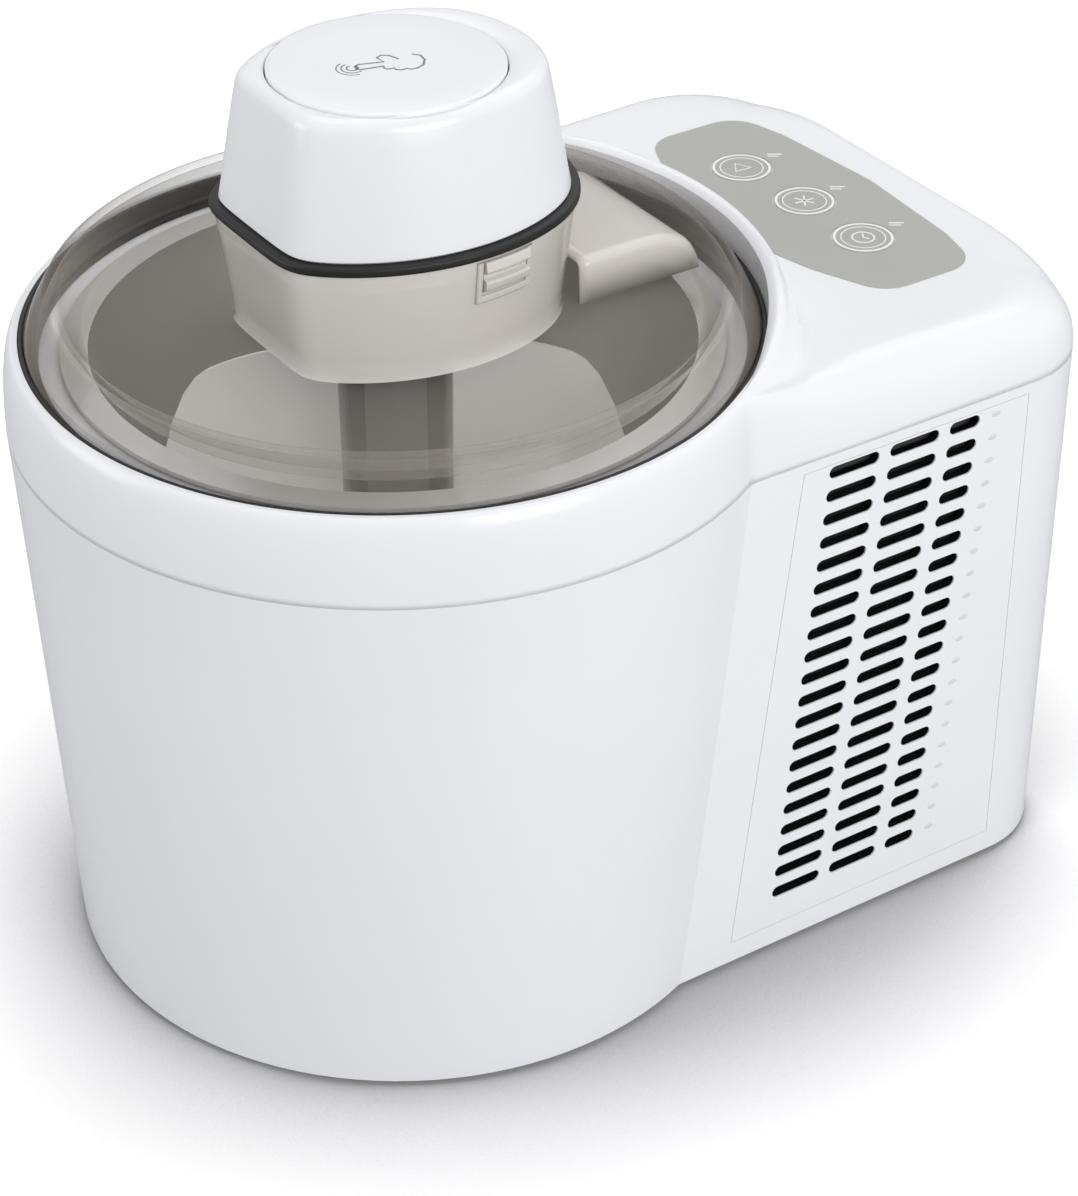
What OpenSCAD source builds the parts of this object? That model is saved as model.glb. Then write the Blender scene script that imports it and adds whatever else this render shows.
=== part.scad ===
// Self-cooling ice cream maker: a round bowl section in front of a ventilated
// cooling box, with a see-through lid and a lift-off motor head.
// Millimetres, +Z up, the bowl end faces -Y, the bottom of the feet is z = 0.

/* [Bowl section] */
// Outer radius of the bowl section at its base
section_base_r = 98; // [94:0.5:120]
// Outer radius of the bowl section at the crease below the top cover
section_top_r = 106; // [100:0.5:130]
// Height of the crease where the top cover starts
crease_z = 165; // [150:1:200]
// Wall thickness of the white casing
wall = 2.6; // [2:0.1:3.5]

/* [Cooling box] */
// Width of the cooling box
box_w = 183; // [170:1:200]
// Distance from the bowl axis to the rear face
box_reach = 181; // [170:1:220]
// Radius of the two upright rear corners
box_corner_r = 30; // [15:1:40]
// Height of the rubber feet
foot_h = 2; // [2:0.5:6]
// Radius of the rubber feet
foot_r = 9; // [6:0.5:12]
// Thickness of the base plate
base_t = 3; // [2:0.5:5]

/* [Top cover] */
// Height of the deck above the crease
deck_rise = 20; // [16:1:30]
// Height of the lid seam above the crease
seam_rise = 24.5; // [22:0.5:32]
// Height of the rear collar above the lid seam
collar_rise = 9.5; // [4:0.5:14]
// Radius of the lid well in the top cover
lid_well_r = 100.9; // [98:0.1:104]
// Width of the control overlay
overlay_w = 114; // [90:1:130]
// Radius of a control key
key_r = 9; // [7:0.5:11]
// Distance between neighbouring control keys
key_pitch = 27.5; // [24:0.5:34]
// Travel of a control key
key_travel = 0.6; // [0.3:0.1:1]

/* [Vents] */
// Rows of slots in a side vent
vent_rows = 20; // [10:1:20]
// Distance between slot rows
vent_pitch = 7.28; // [6:0.1:7.3]
// Height of a slot
slot_h = 3.8; // [2:0.1:4.5]
// Length of the slots in the two front columns
slot_len = 17; // [12:0.5:18]
// Length of the slots in the rear column
short_slot_len = 10.6; // [8:0.1:14]

/* [Mixing bowl] */
// Outer radius of the mixing bowl at its rim
bowl_r = 84; // [80:0.5:86]
// Outer radius of the mixing bowl at its floor
bowl_floor_r = 73; // [66:0.5:78]
// Depth of the mixing bowl
bowl_depth = 90; // [75:1:100]
// Wall thickness of the mixing bowl
bowl_wall = 1.5; // [1:0.1:2]
// Wall thickness of the fixed cooling well
well_wall = 2; // [1.5:0.1:3]

/* [Lid and motor head] */
// Height of the lid crest above the lid seam
crest_rise = 11.5; // [8:0.5:15]
// Thickness of the clear lid
lid_wall = 2; // [1.6:0.1:2.6]
// Height of the motor cup above the lid seam
cup_rise = 35; // [32:0.5:42]
// Height of the white motor cap
cap_h = 36; // [34:0.5:44]
// Radius of the press button
button_r = 31.3; // [26:0.1:31.5]
// Travel of the press button
button_travel = 1.5; // [1:0.1:2.5]
// Radius of the drive motor
motor_r = 13.5; // [11:0.5:14]

/* [Drive] */
// Gear module
gear_module = 0.8; // [0.8:0.05:0.85]
// Teeth on each small gear
small_teeth = 12; // [12:1:13]
// Teeth on each large gear
large_teeth = 36; // [34:1:37]
// Free play between meshing teeth
backlash = 0.3; // [0.2:0.05:0.4]

/* [Hidden] */
$fn = 96;
clear = 0.3;      // between parts that move past each other
seat = 0.2;       // between parts that rest on each other
run_fit = 0.05;   // radial play of a running shaft
over = 1;         // how far a cutter runs past the face it cuts
shell_z = foot_h;
floor_z = shell_z + base_t;
deck_z = crease_z + deck_rise;
seam_z = crease_z + seam_rise;
collar_z = seam_z + collar_rise;
axis_y = (section_top_r - box_reach) / 2;   // the bowl axis, from the middle of the whole length
half_w = box_w / 2;
rear_y = box_reach;

// Inner levels around the bowl
ledge_t = 2;
ledge_z = seam_z - 6.5;
bowl_rim_z = ledge_z + seat;
rim_t = 1.5;
bowl_floor_z = bowl_rim_z + rim_t - bowl_depth;
bowl_flange_r = bowl_r + 6;
well_gap = 0.5;
well_r = bowl_r + well_gap;
well_floor_r = bowl_floor_r + well_gap;
well_top_z = ledge_z - ledge_t;
well_floor_z = bowl_floor_z - well_gap;
foam_t = 14;
foam_r = lid_well_r - 6;

// Rear cooling stack, front to back
block_w = 40;
block_z = (well_floor_z + well_top_z) / 2;
block_rear_y = well_r + well_wall + 9;
module_t = 4;
sink_y = block_rear_y + module_t;
sink_w = 92;
sink_base_t = 6;
fin_len = 28;
fin_t = 1.5;
fin_pitch = 6;
fan_w = 92;
fan_t = 25;
fan_y = rear_y - wall - clear - fan_t;
fan_z = 88;
fan_bore_r = fan_w / 2 - 4;
grille_w = 108;
grille_h = 116;
grille_slot = 4;
grille_pitch = 9;
gland_x = 46;
gland_z = 19;
gland_r = 6;
gland_bore_r = 3.2;
gland_len = 16;
flange_r = gland_r + 1.5;
flange_t = 1.4;

// Side vents
vent_z0 = 20.9;
vent_lean = 0.117;
vent_front_y = 52;
vent_rear_y = rear_y - box_corner_r - 2;
vent_panel_z0 = 9;
vent_panel_z1 = crease_z - 3;
slot_front_y = 67.5;
col_pitch = 20.7;
panel_gap = 0.15;

// Control panel
panel_drop = 1;
overlay_y = 137;
overlay_front_bow = 113;
overlay_rear_bow = 246;
overlay_corner_r = 11;
key_front_y = 139.5;
key_bow = 1.2;
board_w = 2 * (key_pitch + key_r) + 11;
board_l = 2 * key_r + 16;
board_t = 1.6;
key_flange_t = 1.7;
switch_w = 6;
switch_h = 4;
deck_inner_z = deck_z - wall;
key_flange_z = deck_inner_z - clear - key_flange_t;
stem_len = 1.4;
switch_top_z = key_flange_z - stem_len - key_travel - 0.1;
board_z = switch_top_z - switch_h - board_t;
post_r = 3;

// Power board on the base plate
power_x = -60;
power_y = 108;
power_w = 110;
power_l = 36;
power_lift = 5;
power_edge = 5;
capacitor_r = 6;
capacitor_h = 16;
core_w = 34;
core_h = 6;

// Screws under the base plate
screw_r = 1.4;
screw_bore_r = 1.5;
screw_len = 14;
boss_r = 5;
boss_h = 22;
front_boss_r = section_base_r - wall - 4;
side_boss_x = half_w - wall - 4;
corner_boss_r = box_corner_r - wall - 4;
corner_boss_a = 20;
screw_places = concat(
    [for (a = [-140, -90, -40]) [front_boss_r * cos(a), front_boss_r * sin(a)]],
    [for (s = [-1, 1]) [s * side_boss_x, 44]],
    [for (s = [-1, 1]) [s * (half_w - box_corner_r + corner_boss_r * cos(corner_boss_a)),
        rear_y - box_corner_r + corner_boss_r * sin(corner_boss_a)]]);
foot_x = half_w - box_corner_r;
foot_places = [[-foot_x, -50], [foot_x, -50], [-foot_x, rear_y - box_corner_r - foot_r],
    [foot_x, rear_y - box_corner_r - foot_r]];

// Lid
lid_r = lid_well_r - 1.7;
crest_z = seam_z + crest_rise;
crest_r = lid_r - 6.7;
crest_w = 3;
lid_floor_z = seam_z - 0.5;
skirt_z = ledge_z + 1.8;
seal_r = lid_well_r - 0.2;
cup_z = seam_z + cup_rise;
bridge_w = 54;
bridge_z = crest_z + 3;
shaft_hole_r = 9;

// Motor head outline: two side arcs, a rear arc and a front flat
arc_offset = 20;
head_mid_y = 3;
side_r = 54;
rear_r = 42;
front_y = -35;
head_flare = 6.5;
head_draft = head_flare / cap_h;
cup_taper = 4.5;
motor_seal_t = 2.5;
cap_z = cup_z + motor_seal_t;
cap_top_z = cap_z + cap_h;
cap_wall = 2.5;
tub_z = lid_floor_z + lid_wall + 2.3;
button_proud = 0.6;
button_t = 3;
latch_angle = 6;
latch_w = 14;
latch_h = 12;
latch_t = 4;
latch_travel = 2;
latch_r = side_r + head_flare - 5;

// Gear train inside the head
small_r = gear_module * small_teeth / 2;
large_r = gear_module * large_teeth / 2;
mesh_r = small_r + large_r;
motor_y = 22;
idler_y = motor_y / 2;
idler_x = -sqrt(mesh_r * mesh_r - idler_y * idler_y);
gear_t = 4;
low_gear_z = tub_z + lid_wall + 6;
high_gear_z = low_gear_z + gear_t + 1;
shaft_r = 3;
coupling_r = 5.5;
idler_pin_r = 1.5;
gear_plate_z = high_gear_z + gear_t + 1.5;
gear_plate_t = 2;
motor_h = 24;

// Paddle
paddle_hub_r = 8.5;
paddle_top_z = lid_floor_z - 1.5;
paddle_floor_z = bowl_floor_z + bowl_wall + clear;
paddle_reach = 66;
coupling_z = paddle_top_z - 16;
paddle_angle = 62;
sleeve_r = 16;
sleeve_t = 2;
sleeve_z = coupling_z - 20;
wing_h = (paddle_top_z - paddle_floor_z) * 0.78;
wing_lean = 20;
wing_t = 3;

// Moves a shape from the bowl axis to its place in the whole object.
module placed() {
    translate([0, axis_y, 0]) children();
}

// Radius of the tapered bowl section at a height.
function section_r(z) =
    section_base_r + (section_top_r - section_base_r) * (z - shell_z) / (crease_z - shell_z);

// The tapered bowl section from z0 to z1, drawn in by some amount.
module section(z0, z1, inset) {
    translate([0, 0, z0])
        cylinder(h = z1 - z0, r1 = section_r(z0) - inset, r2 = section_r(z1) - inset);
}

// The box section from z0 to z1 with two round rear corners, drawn in by some amount.
module box_block(z0, z1, inset) {
    w = half_w - inset;
    r = max(box_corner_r - inset, 1);
    y1 = rear_y - inset;
    translate([-w, 0, z0]) cube([2 * w, y1 - r, z1 - z0]);
    translate([-w + r, 0, z0]) cube([2 * w - 2 * r, y1, z1 - z0]);
    for (s = [-1, 1])
        translate([s * (w - r), y1 - r, z0]) cylinder(h = z1 - z0, r = r);
}

// Bowl section and box section together.
module casing_block(z0, z1, inset) {
    section(z0, z1, inset);
    box_block(z0, z1, inset);
}

// Side outline of a vent panel in (y, z), drawn in by some amount.
module vent_outline(inset) {
    z0 = vent_panel_z0 + inset;
    z1 = vent_panel_z1 - inset;
    polygon([
        [vent_front_y + vent_lean * z0 + inset, z0],
        [vent_rear_y - inset, z0],
        [vent_rear_y - inset, z1],
        [vent_front_y + vent_lean * z1 + inset, z1]]);
}

// A slot with round ends that starts at the origin and runs along +x.
module slot(len, h) {
    translate([h / 2, -h / 2]) square([len - h, h]);
    for (x = [h / 2, len - h / 2]) translate([x, 0]) circle(d = h, $fn = 24);
}

// Stands a (y, z) drawing upright and gives it a thickness along x.
module side_plate(x0, t) {
    translate([x0, 0, 0]) rotate([90, 0, 90]) linear_extrude(t) children();
}

module lower_housing() {
    color("white") placed() {
        difference() {
            casing_block(shell_z, crease_z, 0);
            casing_block(shell_z - over, crease_z + over, wall);
            for (x = [-half_w - over, half_w - wall - over])
                side_plate(x, wall + 2 * over) vent_outline(0);
            translate([-grille_w / 2, rear_y - wall - over, fan_z - grille_h / 2])
                cube([grille_w, wall + 2 * over, grille_h]);
            translate([gland_x, rear_y + over, gland_z]) rotate([90, 0, 0]) {
                cylinder(h = 2 * over + wall, r = gland_r);
                cylinder(h = over + flange_t, r = flange_r + seat);
            }
        }
        for (p = screw_places) translate([p[0], p[1], floor_z])
            intersection() {
                difference() {
                    cylinder(h = boss_h, r = boss_r);
                    translate([0, 0, -over]) cylinder(h = boss_h, r = screw_bore_r);
                }
                translate([-p[0], -p[1], 0])
                    casing_block(-over, boss_h + over, wall / 2);
            }
    }
}

module base_plate() {
    color("gainsboro") placed() difference() {
        casing_block(shell_z, floor_z, wall + seat);
        for (p = screw_places) translate([p[0], p[1], shell_z - over]) {
            cylinder(h = base_t + 2 * over, r = screw_r + seat);
            cylinder(h = over + 1.6, r = 3.4);
        }
        for (x = [-45:15:45])
            translate([x - 3, 96, shell_z - over]) cube([6, 40, base_t + 2 * over]);
    }
}

module foot(i) {
    color("dimgray") placed() translate([foot_places[i][0], foot_places[i][1], 0]) {
        cylinder(h = 1, r1 = foot_r - 1, r2 = foot_r);
        translate([0, 0, 1]) cylinder(h = foot_h - 1, r = foot_r);
    }
}

module case_screws() {
    color("silver") placed() for (p = screw_places) translate([p[0], p[1], shell_z]) {
        translate([0, 0, 0.1]) cylinder(h = 1.5, r = 3);
        translate([0, 0, 1.5]) cylinder(h = screw_len, r = screw_r);
    }
}

// Ring-shaped cover band around the bowl: outer shoulder, lid well and bowl ledge.
module cover_band() {
    shoulder = seam_z - crease_z;
    rim_r = lid_well_r + 1.2;
    steps = 12;
    rotate_extrude() polygon(concat(
        [[well_r + well_gap, ledge_z], [lid_well_r, ledge_z], [lid_well_r, seam_z]],
        [for (i = [0:steps]) let (a = 90 * i / steps)
            [rim_r + (section_top_r - rim_r) * sin(a), crease_z + shoulder * cos(a)]],
        [[section_top_r - wall, crease_z], [section_top_r - wall - 1, well_top_z],
         [well_r + well_gap, well_top_z]]));
}

// Slices of the deck, from the crease up: [height above crease, how far it is drawn in].
deck_slices = [[0, 0], [3, 0.8], [8, 4.5], [13, 10], [17, 16.5], [deck_rise, 25]];

// Rounded deck over the cooling box, offset inward by some amount.
module deck_block(inset) {
    hull() for (s = deck_slices) {
        z = crease_z + s[0] * (deck_rise - inset) / deck_rise;
        translate([0, 0, z]) linear_extrude(0.01)
            deck_outline(s[1] + inset);
    }
}

module deck_outline(inset) {
    w = half_w - inset;
    r = max(box_corner_r - inset * 0.3, 4);
    y1 = rear_y - inset * 0.35;
    translate([-w, 30]) square([2 * w, y1 - 30 - r]);
    for (s = [-1, 1]) translate([s * (w - r), y1 - r]) circle(r = r, $fn = 40);
}

// Raised collar behind the lid, which sinks into the band at both sides.
module collar() {
    r_top = lid_well_r + 3.1;
    intersection() {
        rotate_extrude() polygon([
            [lid_well_r, seam_z - 8], [lid_well_r, collar_z - 2], [lid_well_r + 1.2, collar_z - 0.4],
            [r_top, collar_z], [r_top + 3, collar_z - 1.5], [r_top + 5.5, collar_z - 6],
            [r_top + 6.5, deck_z], [r_top + 5, seam_z - 8]]);
        side_plate(-section_top_r * 1.2, section_top_r * 2.4) polygon([
            [60, seam_z - 10], [130, seam_z - 10], [130, collar_z + 1],
            [94, collar_z + 0.2], [80, collar_z - 3], [60, seam_z - 2]]);
    }
}

// Outline of the control overlay, a pillow shape with bowed front and rear edges.
module overlay_outline(inset) {
    w = overlay_w / 2 - inset - overlay_corner_r;
    front_r = overlay_front_bow - inset - overlay_corner_r;
    rear_r = overlay_rear_bow - inset - overlay_corner_r;
    offset(r = overlay_corner_r, $fn = 40) intersection() {
        translate([-w, overlay_y - 40]) square([2 * w, 80]);
        translate([0, overlay_y - 27 + overlay_front_bow]) circle(r = front_r);
        translate([0, overlay_y + 27 - overlay_rear_bow]) circle(r = rear_r);
    }
}

// Places the three keys in a shallow arc.
module at_key(i) {
    x = (i - 1) * key_pitch;
    translate([x, key_front_y - key_bow * (i == 0 ? 2 : 0), 0]) children();
}

module top_cover() {
    color("white") placed() difference() {
        union() {
            cover_band();
            difference() {
                deck_block(0);
                deck_block(wall);
                translate([-half_w, 0, crease_z - over])
                    cube([2 * half_w, rear_y * 2, over]);
                section(crease_z - 10, crease_z + 9, 0.5);
                cylinder(h = 400, r = section_top_r - wall - 0.5);
            }
            collar();
            for (x = [-board_w / 2 + 5, board_w / 2 - 5], y = [-board_l / 2 + 5, board_l / 2 - 5])
                translate([x, key_front_y + y - 1, board_z + board_t])
                    cylinder(h = deck_inner_z - board_z - board_t + 0.5, r = post_r);
        }
        translate([0, 0, deck_z - panel_drop]) linear_extrude(20)
            difference() {
                overlay_outline(0);
                circle(r = lid_well_r + 10);
            }
        for (i = [0:2]) at_key(i)
            translate([0, 0, deck_z - 10]) cylinder(h = 20, r = key_r + clear);
    }
}

module control_overlay() {
    color("darkgray") placed() difference() {
        translate([0, 0, deck_z - panel_drop]) linear_extrude(panel_drop + 0.2)
            difference() {
                overlay_outline(0.2);
                circle(r = lid_well_r + 10.2);
            }
        for (i = [0:2]) at_key(i)
            translate([0, 0, deck_z - 10]) cylinder(h = 20, r = key_r + clear);
    }
}

module key(i) {
    color("silver") placed() at_key(i) {
        translate([0, 0, key_flange_z + key_flange_t])
            cylinder(h = deck_z + 0.2 - key_flange_z - key_flange_t, r = key_r);
        translate([0, 0, key_flange_z]) cylinder(h = key_flange_t, r = key_r + 1.5);
        translate([0, 0, key_flange_z - stem_len]) cylinder(h = stem_len, r = 2);
    }
}

module control_board() {
    color("darkgreen") placed() {
        translate([-board_w / 2, key_front_y - 1 - board_l / 2, board_z])
            cube([board_w, board_l, board_t]);
        for (i = [0:2]) at_key(i)
            translate([-switch_w / 2, -switch_w / 2, board_z + board_t])
                cube([switch_w, switch_w, switch_h]);
    }
}

// Vent panel of the right side: three columns of slots that lean with the panel's front edge.
module vent_plate() {
    side_plate(half_w - wall, wall) difference() {
        vent_outline(panel_gap);
        for (row = [0:vent_rows - 1]) {
            z = vent_z0 + vent_pitch * row;
            y = slot_front_y + 0.0875 * (z - vent_z0);
            translate([y, z]) slot(slot_len, slot_h);
            translate([y + col_pitch, z]) slot(slot_len, slot_h);
            translate([y + 2 * col_pitch, z]) slot(short_slot_len, slot_h);
        }
    }
}

module right_vent_panel() {
    color("white") placed() vent_plate();
}

module left_vent_panel() {
    color("white") placed() mirror([1, 0, 0]) vent_plate();
}

module rear_grille() {
    w = grille_w - 2 * panel_gap;
    h = grille_h - 2 * panel_gap;
    color("white") placed() translate([-w / 2, rear_y - wall, fan_z - h / 2]) difference() {
        cube([w, wall, h]);
        for (z = [12:grille_pitch:h - 14], x = [10, w / 2 + 3])
            translate([x, -over, z]) cube([w / 2 - 13, wall + 2 * over, grille_slot]);
    }
}

module cord_gland() {
    color("dimgray") placed()
        translate([gland_x, rear_y, gland_z]) rotate([90, 0, 0]) difference() {
            union() {
                cylinder(h = flange_t, r = flange_r);
                cylinder(h = gland_len, r = gland_r - seat);
            }
            translate([0, 0, -over]) cylinder(h = gland_len + 2 * over, r = gland_bore_r);
        }
}

// Cooling well: the fixed aluminium cup that chills the mixing bowl.
module well_body(grow) {
    translate([0, 0, well_floor_z - well_wall - grow])
        cylinder(h = well_top_z - well_floor_z + well_wall + grow,
            r1 = well_floor_r + well_wall + grow, r2 = well_r + well_wall + grow);
}

module cooling_well() {
    color("silver") placed() difference() {
        union() {
            well_body(0);
            translate([0, 0, well_top_z - 2]) cylinder(h = 2, r = well_r + well_wall + 5);
        }
        translate([0, 0, well_floor_z])
            cylinder(h = well_top_z - well_floor_z, r1 = well_floor_r, r2 = well_r);
        translate([0, 0, well_top_z - 0.01]) cylinder(h = over, r = well_r);
    }
}

module insulation() {
    color("khaki") placed() difference() {
        translate([0, 0, well_floor_z - well_wall - foam_t])
            cylinder(h = well_top_z - 2 - seat - well_floor_z + well_wall + foam_t, r = foam_r);
        well_body(seat);
        translate([-block_w / 2 - seat, 0, block_z - block_w / 2 - seat])
            cube([block_w + 2 * seat, 200, block_w + 2 * seat]);
    }
}

module cold_block() {
    color("silver") placed() difference() {
        translate([-block_w / 2, well_floor_r - 4, block_z - block_w / 2])
            cube([block_w, block_rear_y - well_floor_r + 4, block_w]);
        well_body(seat / 2);
    }
}

module thermoelectric_module() {
    color("whitesmoke") placed() {
        translate([-block_w / 2, block_rear_y, block_z - block_w / 2])
            cube([block_w, module_t, block_w]);
    }
}

module heat_sink() {
    fins = floor((sink_w - fin_t) / fin_pitch);
    color("lightgray") placed() translate([-sink_w / 2, sink_y, block_z + block_w / 2 - sink_w]) {
        cube([sink_w, sink_base_t, sink_w]);
        for (i = [0:fins]) translate([i * fin_pitch, sink_base_t - 0.5, 0])
            cube([fin_t, fin_len + 0.5, sink_w]);
    }
}

module fan_frame() {
    color("dimgray") placed() translate([0, fan_y, fan_z]) rotate([-90, 0, 0]) {
        difference() {
            translate([-fan_w / 2, -fan_w / 2, 0]) cube([fan_w, fan_w, fan_t]);
            translate([0, 0, -over]) cylinder(h = fan_t + 2 * over, r = fan_bore_r);
        }
        for (a = [45:90:315]) rotate([0, 0, a])
            translate([14, -2, fan_t - 3]) cube([fan_bore_r - 13, 4, 3]);
        translate([0, 0, fan_t - 3]) difference() {
            cylinder(h = 3, r = 17);
            translate([0, 0, -over]) cylinder(h = 3 + 2 * over, r = 2 + run_fit);
        }
    }
}

module fan_rotor() {
    blades = 7;
    color("black") placed() translate([0, fan_y, fan_z]) rotate([-90, 0, 0]) {
        translate([0, 0, 2]) cylinder(h = fan_t - 6, r = 17);
        cylinder(h = fan_t, r = 2);
        for (i = [0:blades - 1]) rotate([0, 0, i * 360 / blades])
            translate([15, 0, fan_t / 2 - 1]) rotate([35, 0, 0])
                translate([0, -11, -0.8]) cube([fan_bore_r - 18, 22, 1.6]);
    }
}

// Board with its posts on the base plate, two capacitors and a terminal block.
module power_board() {
    color("darkgreen") placed() translate([power_x, power_y, floor_z]) {
        translate([0, 0, power_lift]) cube([power_w, power_l, board_t]);
        for (x = [power_edge, power_w - power_edge], y = [power_edge, power_l - power_edge])
            translate([x, y, 0]) cylinder(h = power_lift + seat, r = post_r);
        translate([0, 0, power_lift + board_t]) {
            for (x = [10, 26]) translate([x, power_l / 2, 0])
                cylinder(h = capacitor_h, r = capacitor_r);
            translate([40, 4, 0]) cube([14, 10, 12]);
        }
    }
}

module transformer() {
    side = 4;
    color("gray") placed()
        translate([power_x + 68, power_y + side, floor_z + power_lift + board_t]) {
            cube([core_w, power_l - 2 * side, core_h]);
            translate([side, side / 2, core_h])
                cube([core_w - 2 * side, power_l - 3 * side, 2 * core_h]);
        }
}

// Black seal in the lid well, seen as a thin line around the lid.
module lid_seal() {
    color("black") placed() rotate_extrude() polygon([
        [seal_r - 5, ledge_z], [seal_r, ledge_z], [seal_r, seam_z + 0.1],
        [seal_r - 1.1, seam_z + 0.1], [seal_r - 1.1, ledge_z + 1.5], [seal_r - 5, ledge_z + 1.5]]);
}

module mixing_bowl() {
    rim_z = bowl_rim_z + rim_t;
    color("silver") placed() difference() {
        union() {
            translate([0, 0, bowl_floor_z])
                cylinder(h = bowl_depth, r1 = bowl_floor_r, r2 = bowl_r);
            translate([0, 0, bowl_rim_z]) cylinder(h = rim_t, r = bowl_flange_r);
        }
        translate([0, 0, bowl_floor_z + bowl_wall])
            cylinder(h = rim_z - bowl_floor_z - bowl_wall, r1 = bowl_floor_r - bowl_wall,
                r2 = bowl_r - bowl_wall);
        translate([0, 0, rim_z - 0.01]) cylinder(h = over, r = bowl_r - bowl_wall);
    }
}

// Paddle: a stem with a sleeve at its top, and two broad wings that lean the same way.
module paddle() {
    color("white") placed() rotate([0, 0, paddle_angle]) difference() {
        union() {
            translate([0, 0, paddle_floor_z])
                cylinder(h = paddle_top_z - paddle_floor_z, r = paddle_hub_r);
            difference() {
                translate([0, 0, sleeve_z])
                    cylinder(h = paddle_top_z - sleeve_z, r = sleeve_r);
                translate([0, 0, sleeve_z + sleeve_t])
                    cylinder(h = paddle_top_z, r = sleeve_r - sleeve_t);
            }
            for (side = [0, 1]) mirror([side, 0, 0]) translate([0, 0, paddle_floor_z]) {
                translate([0, -2, 0]) cube([paddle_reach, 4, 8]);
                translate([paddle_hub_r - 2, 0, 4]) rotate([-wing_lean, 0, 0])
                    translate([0, -wing_t / 2, 0])
                        cube([paddle_reach - paddle_hub_r + 2, wing_t, wing_h]);
            }
        }
        translate([0, 0, coupling_z])
            cylinder(h = paddle_top_z, r = coupling_r + 0.25, $fn = 6);
    }
}

// Solid of the motor head between two heights, drawn in by some amount:
// two side cones and a rear cone that overlap, cut by a leaning front flat.
module head_block(z0, z1, draft, inset) {
    h = z1 - z0;
    low = draft * h;
    intersection() {
        translate([-arc_offset, head_mid_y, z0])
            cylinder(h = h, r1 = side_r + low - inset, r2 = side_r - inset, $fn = 192);
        translate([arc_offset, head_mid_y, z0])
            cylinder(h = h, r1 = side_r + low - inset, r2 = side_r - inset, $fn = 192);
        translate([0, 0, z0])
            cylinder(h = h, r1 = rear_r + low - inset, r2 = rear_r - inset);
        side_plate(-80, 160) polygon([
            [front_y - low + inset, z0], [100, z0], [100, z1], [front_y + inset, z1]]);
    }
}

// The head widens from cap top to cup rim, then the cup narrows again to its floor.
module cup_block(z0, z1, inset) {
    shrink = cup_taper / (cup_z - lid_floor_z);
    base = head_flare + 1.5 - inset;
    h = z1 - z0;
    top_in = -base + shrink * (cup_z - z1);
    intersection() {
        translate([-arc_offset, head_mid_y, z0])
            cylinder(h = h, r1 = side_r - top_in - shrink * h, r2 = side_r - top_in, $fn = 192);
        translate([arc_offset, head_mid_y, z0])
            cylinder(h = h, r1 = side_r - top_in - shrink * h, r2 = side_r - top_in, $fn = 192);
        translate([0, 0, z0])
            cylinder(h = h, r1 = rear_r - top_in - shrink * h, r2 = rear_r - top_in);
        side_plate(-80, 160) polygon([
            [front_y + top_in + shrink * h, z0], [100, z0], [100, z1], [front_y + top_in, z1]]);
    }
}

// Places something at the latch, with +x pointing out of the head.
module at_latch(r) {
    translate([-arc_offset, head_mid_y, 0]) rotate([0, 0, latch_angle])
        translate([r, 0, 0]) children();
}

// Room for the latch and its travel, from some radius outwards.
module latch_pocket(r) {
    at_latch(r) translate([0, -latch_w / 2 - clear, cup_z - latch_h - clear])
        cube([4 * latch_t, latch_w + 2 * clear, latch_h + over]);
}

module lid() {
    color("tan", 0.5) placed() difference() {
        union() {
            rotate_extrude() polygon([
                [0, lid_floor_z], [crest_r - crest_w - 5, lid_floor_z],
                [crest_r - crest_w + 1, crest_z - lid_wall],
                [crest_r - 1, crest_z - lid_wall], [lid_r - lid_wall, seam_z],
                [lid_r - lid_wall, skirt_z], [lid_r, skirt_z], [lid_r, seam_z],
                [crest_r, crest_z], [crest_r - crest_w, crest_z],
                [crest_r - crest_w - 6, lid_floor_z + lid_wall], [0, lid_floor_z + lid_wall]]);
            cup_block(lid_floor_z, cup_z, 0);
            intersection() {
                translate([-bridge_w / 2, 20, lid_floor_z])
                    cube([bridge_w, 80, bridge_z - lid_floor_z]);
                translate([0, 0, lid_floor_z]) cylinder(h = 60, r1 = lid_r, r2 = lid_r - 40);
            }
        }
        cup_block(lid_floor_z + lid_wall, cup_z + 0.01, lid_wall);
        intersection() {
            translate([-bridge_w / 2 + lid_wall, 20, lid_floor_z + lid_wall])
                cube([bridge_w - 2 * lid_wall, 80, bridge_z - lid_floor_z - 2 * lid_wall]);
            translate([0, 0, lid_floor_z])
                cylinder(h = 60, r1 = lid_r - 6, r2 = lid_r - 46);
            difference() {
                translate([-50, 20, 0]) cube([100, 100, 400]);
                cup_block(lid_floor_z, cup_z, 0);
            }
        }
        translate([0, 0, lid_floor_z - over]) cylinder(h = lid_wall + 2 * over, r = shaft_hole_r);
        latch_pocket(latch_r + latch_t / 2);
    }
}

module lid_contact() {
    color("dimgray") placed() {
        translate([-10, 62, lid_floor_z + lid_wall]) cube([20, 16, 7]);
        for (x = [-6, 0, 6]) translate([x - 1, 78, lid_floor_z + lid_wall + 2]) cube([2, 5, 3]);
    }
}

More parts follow.
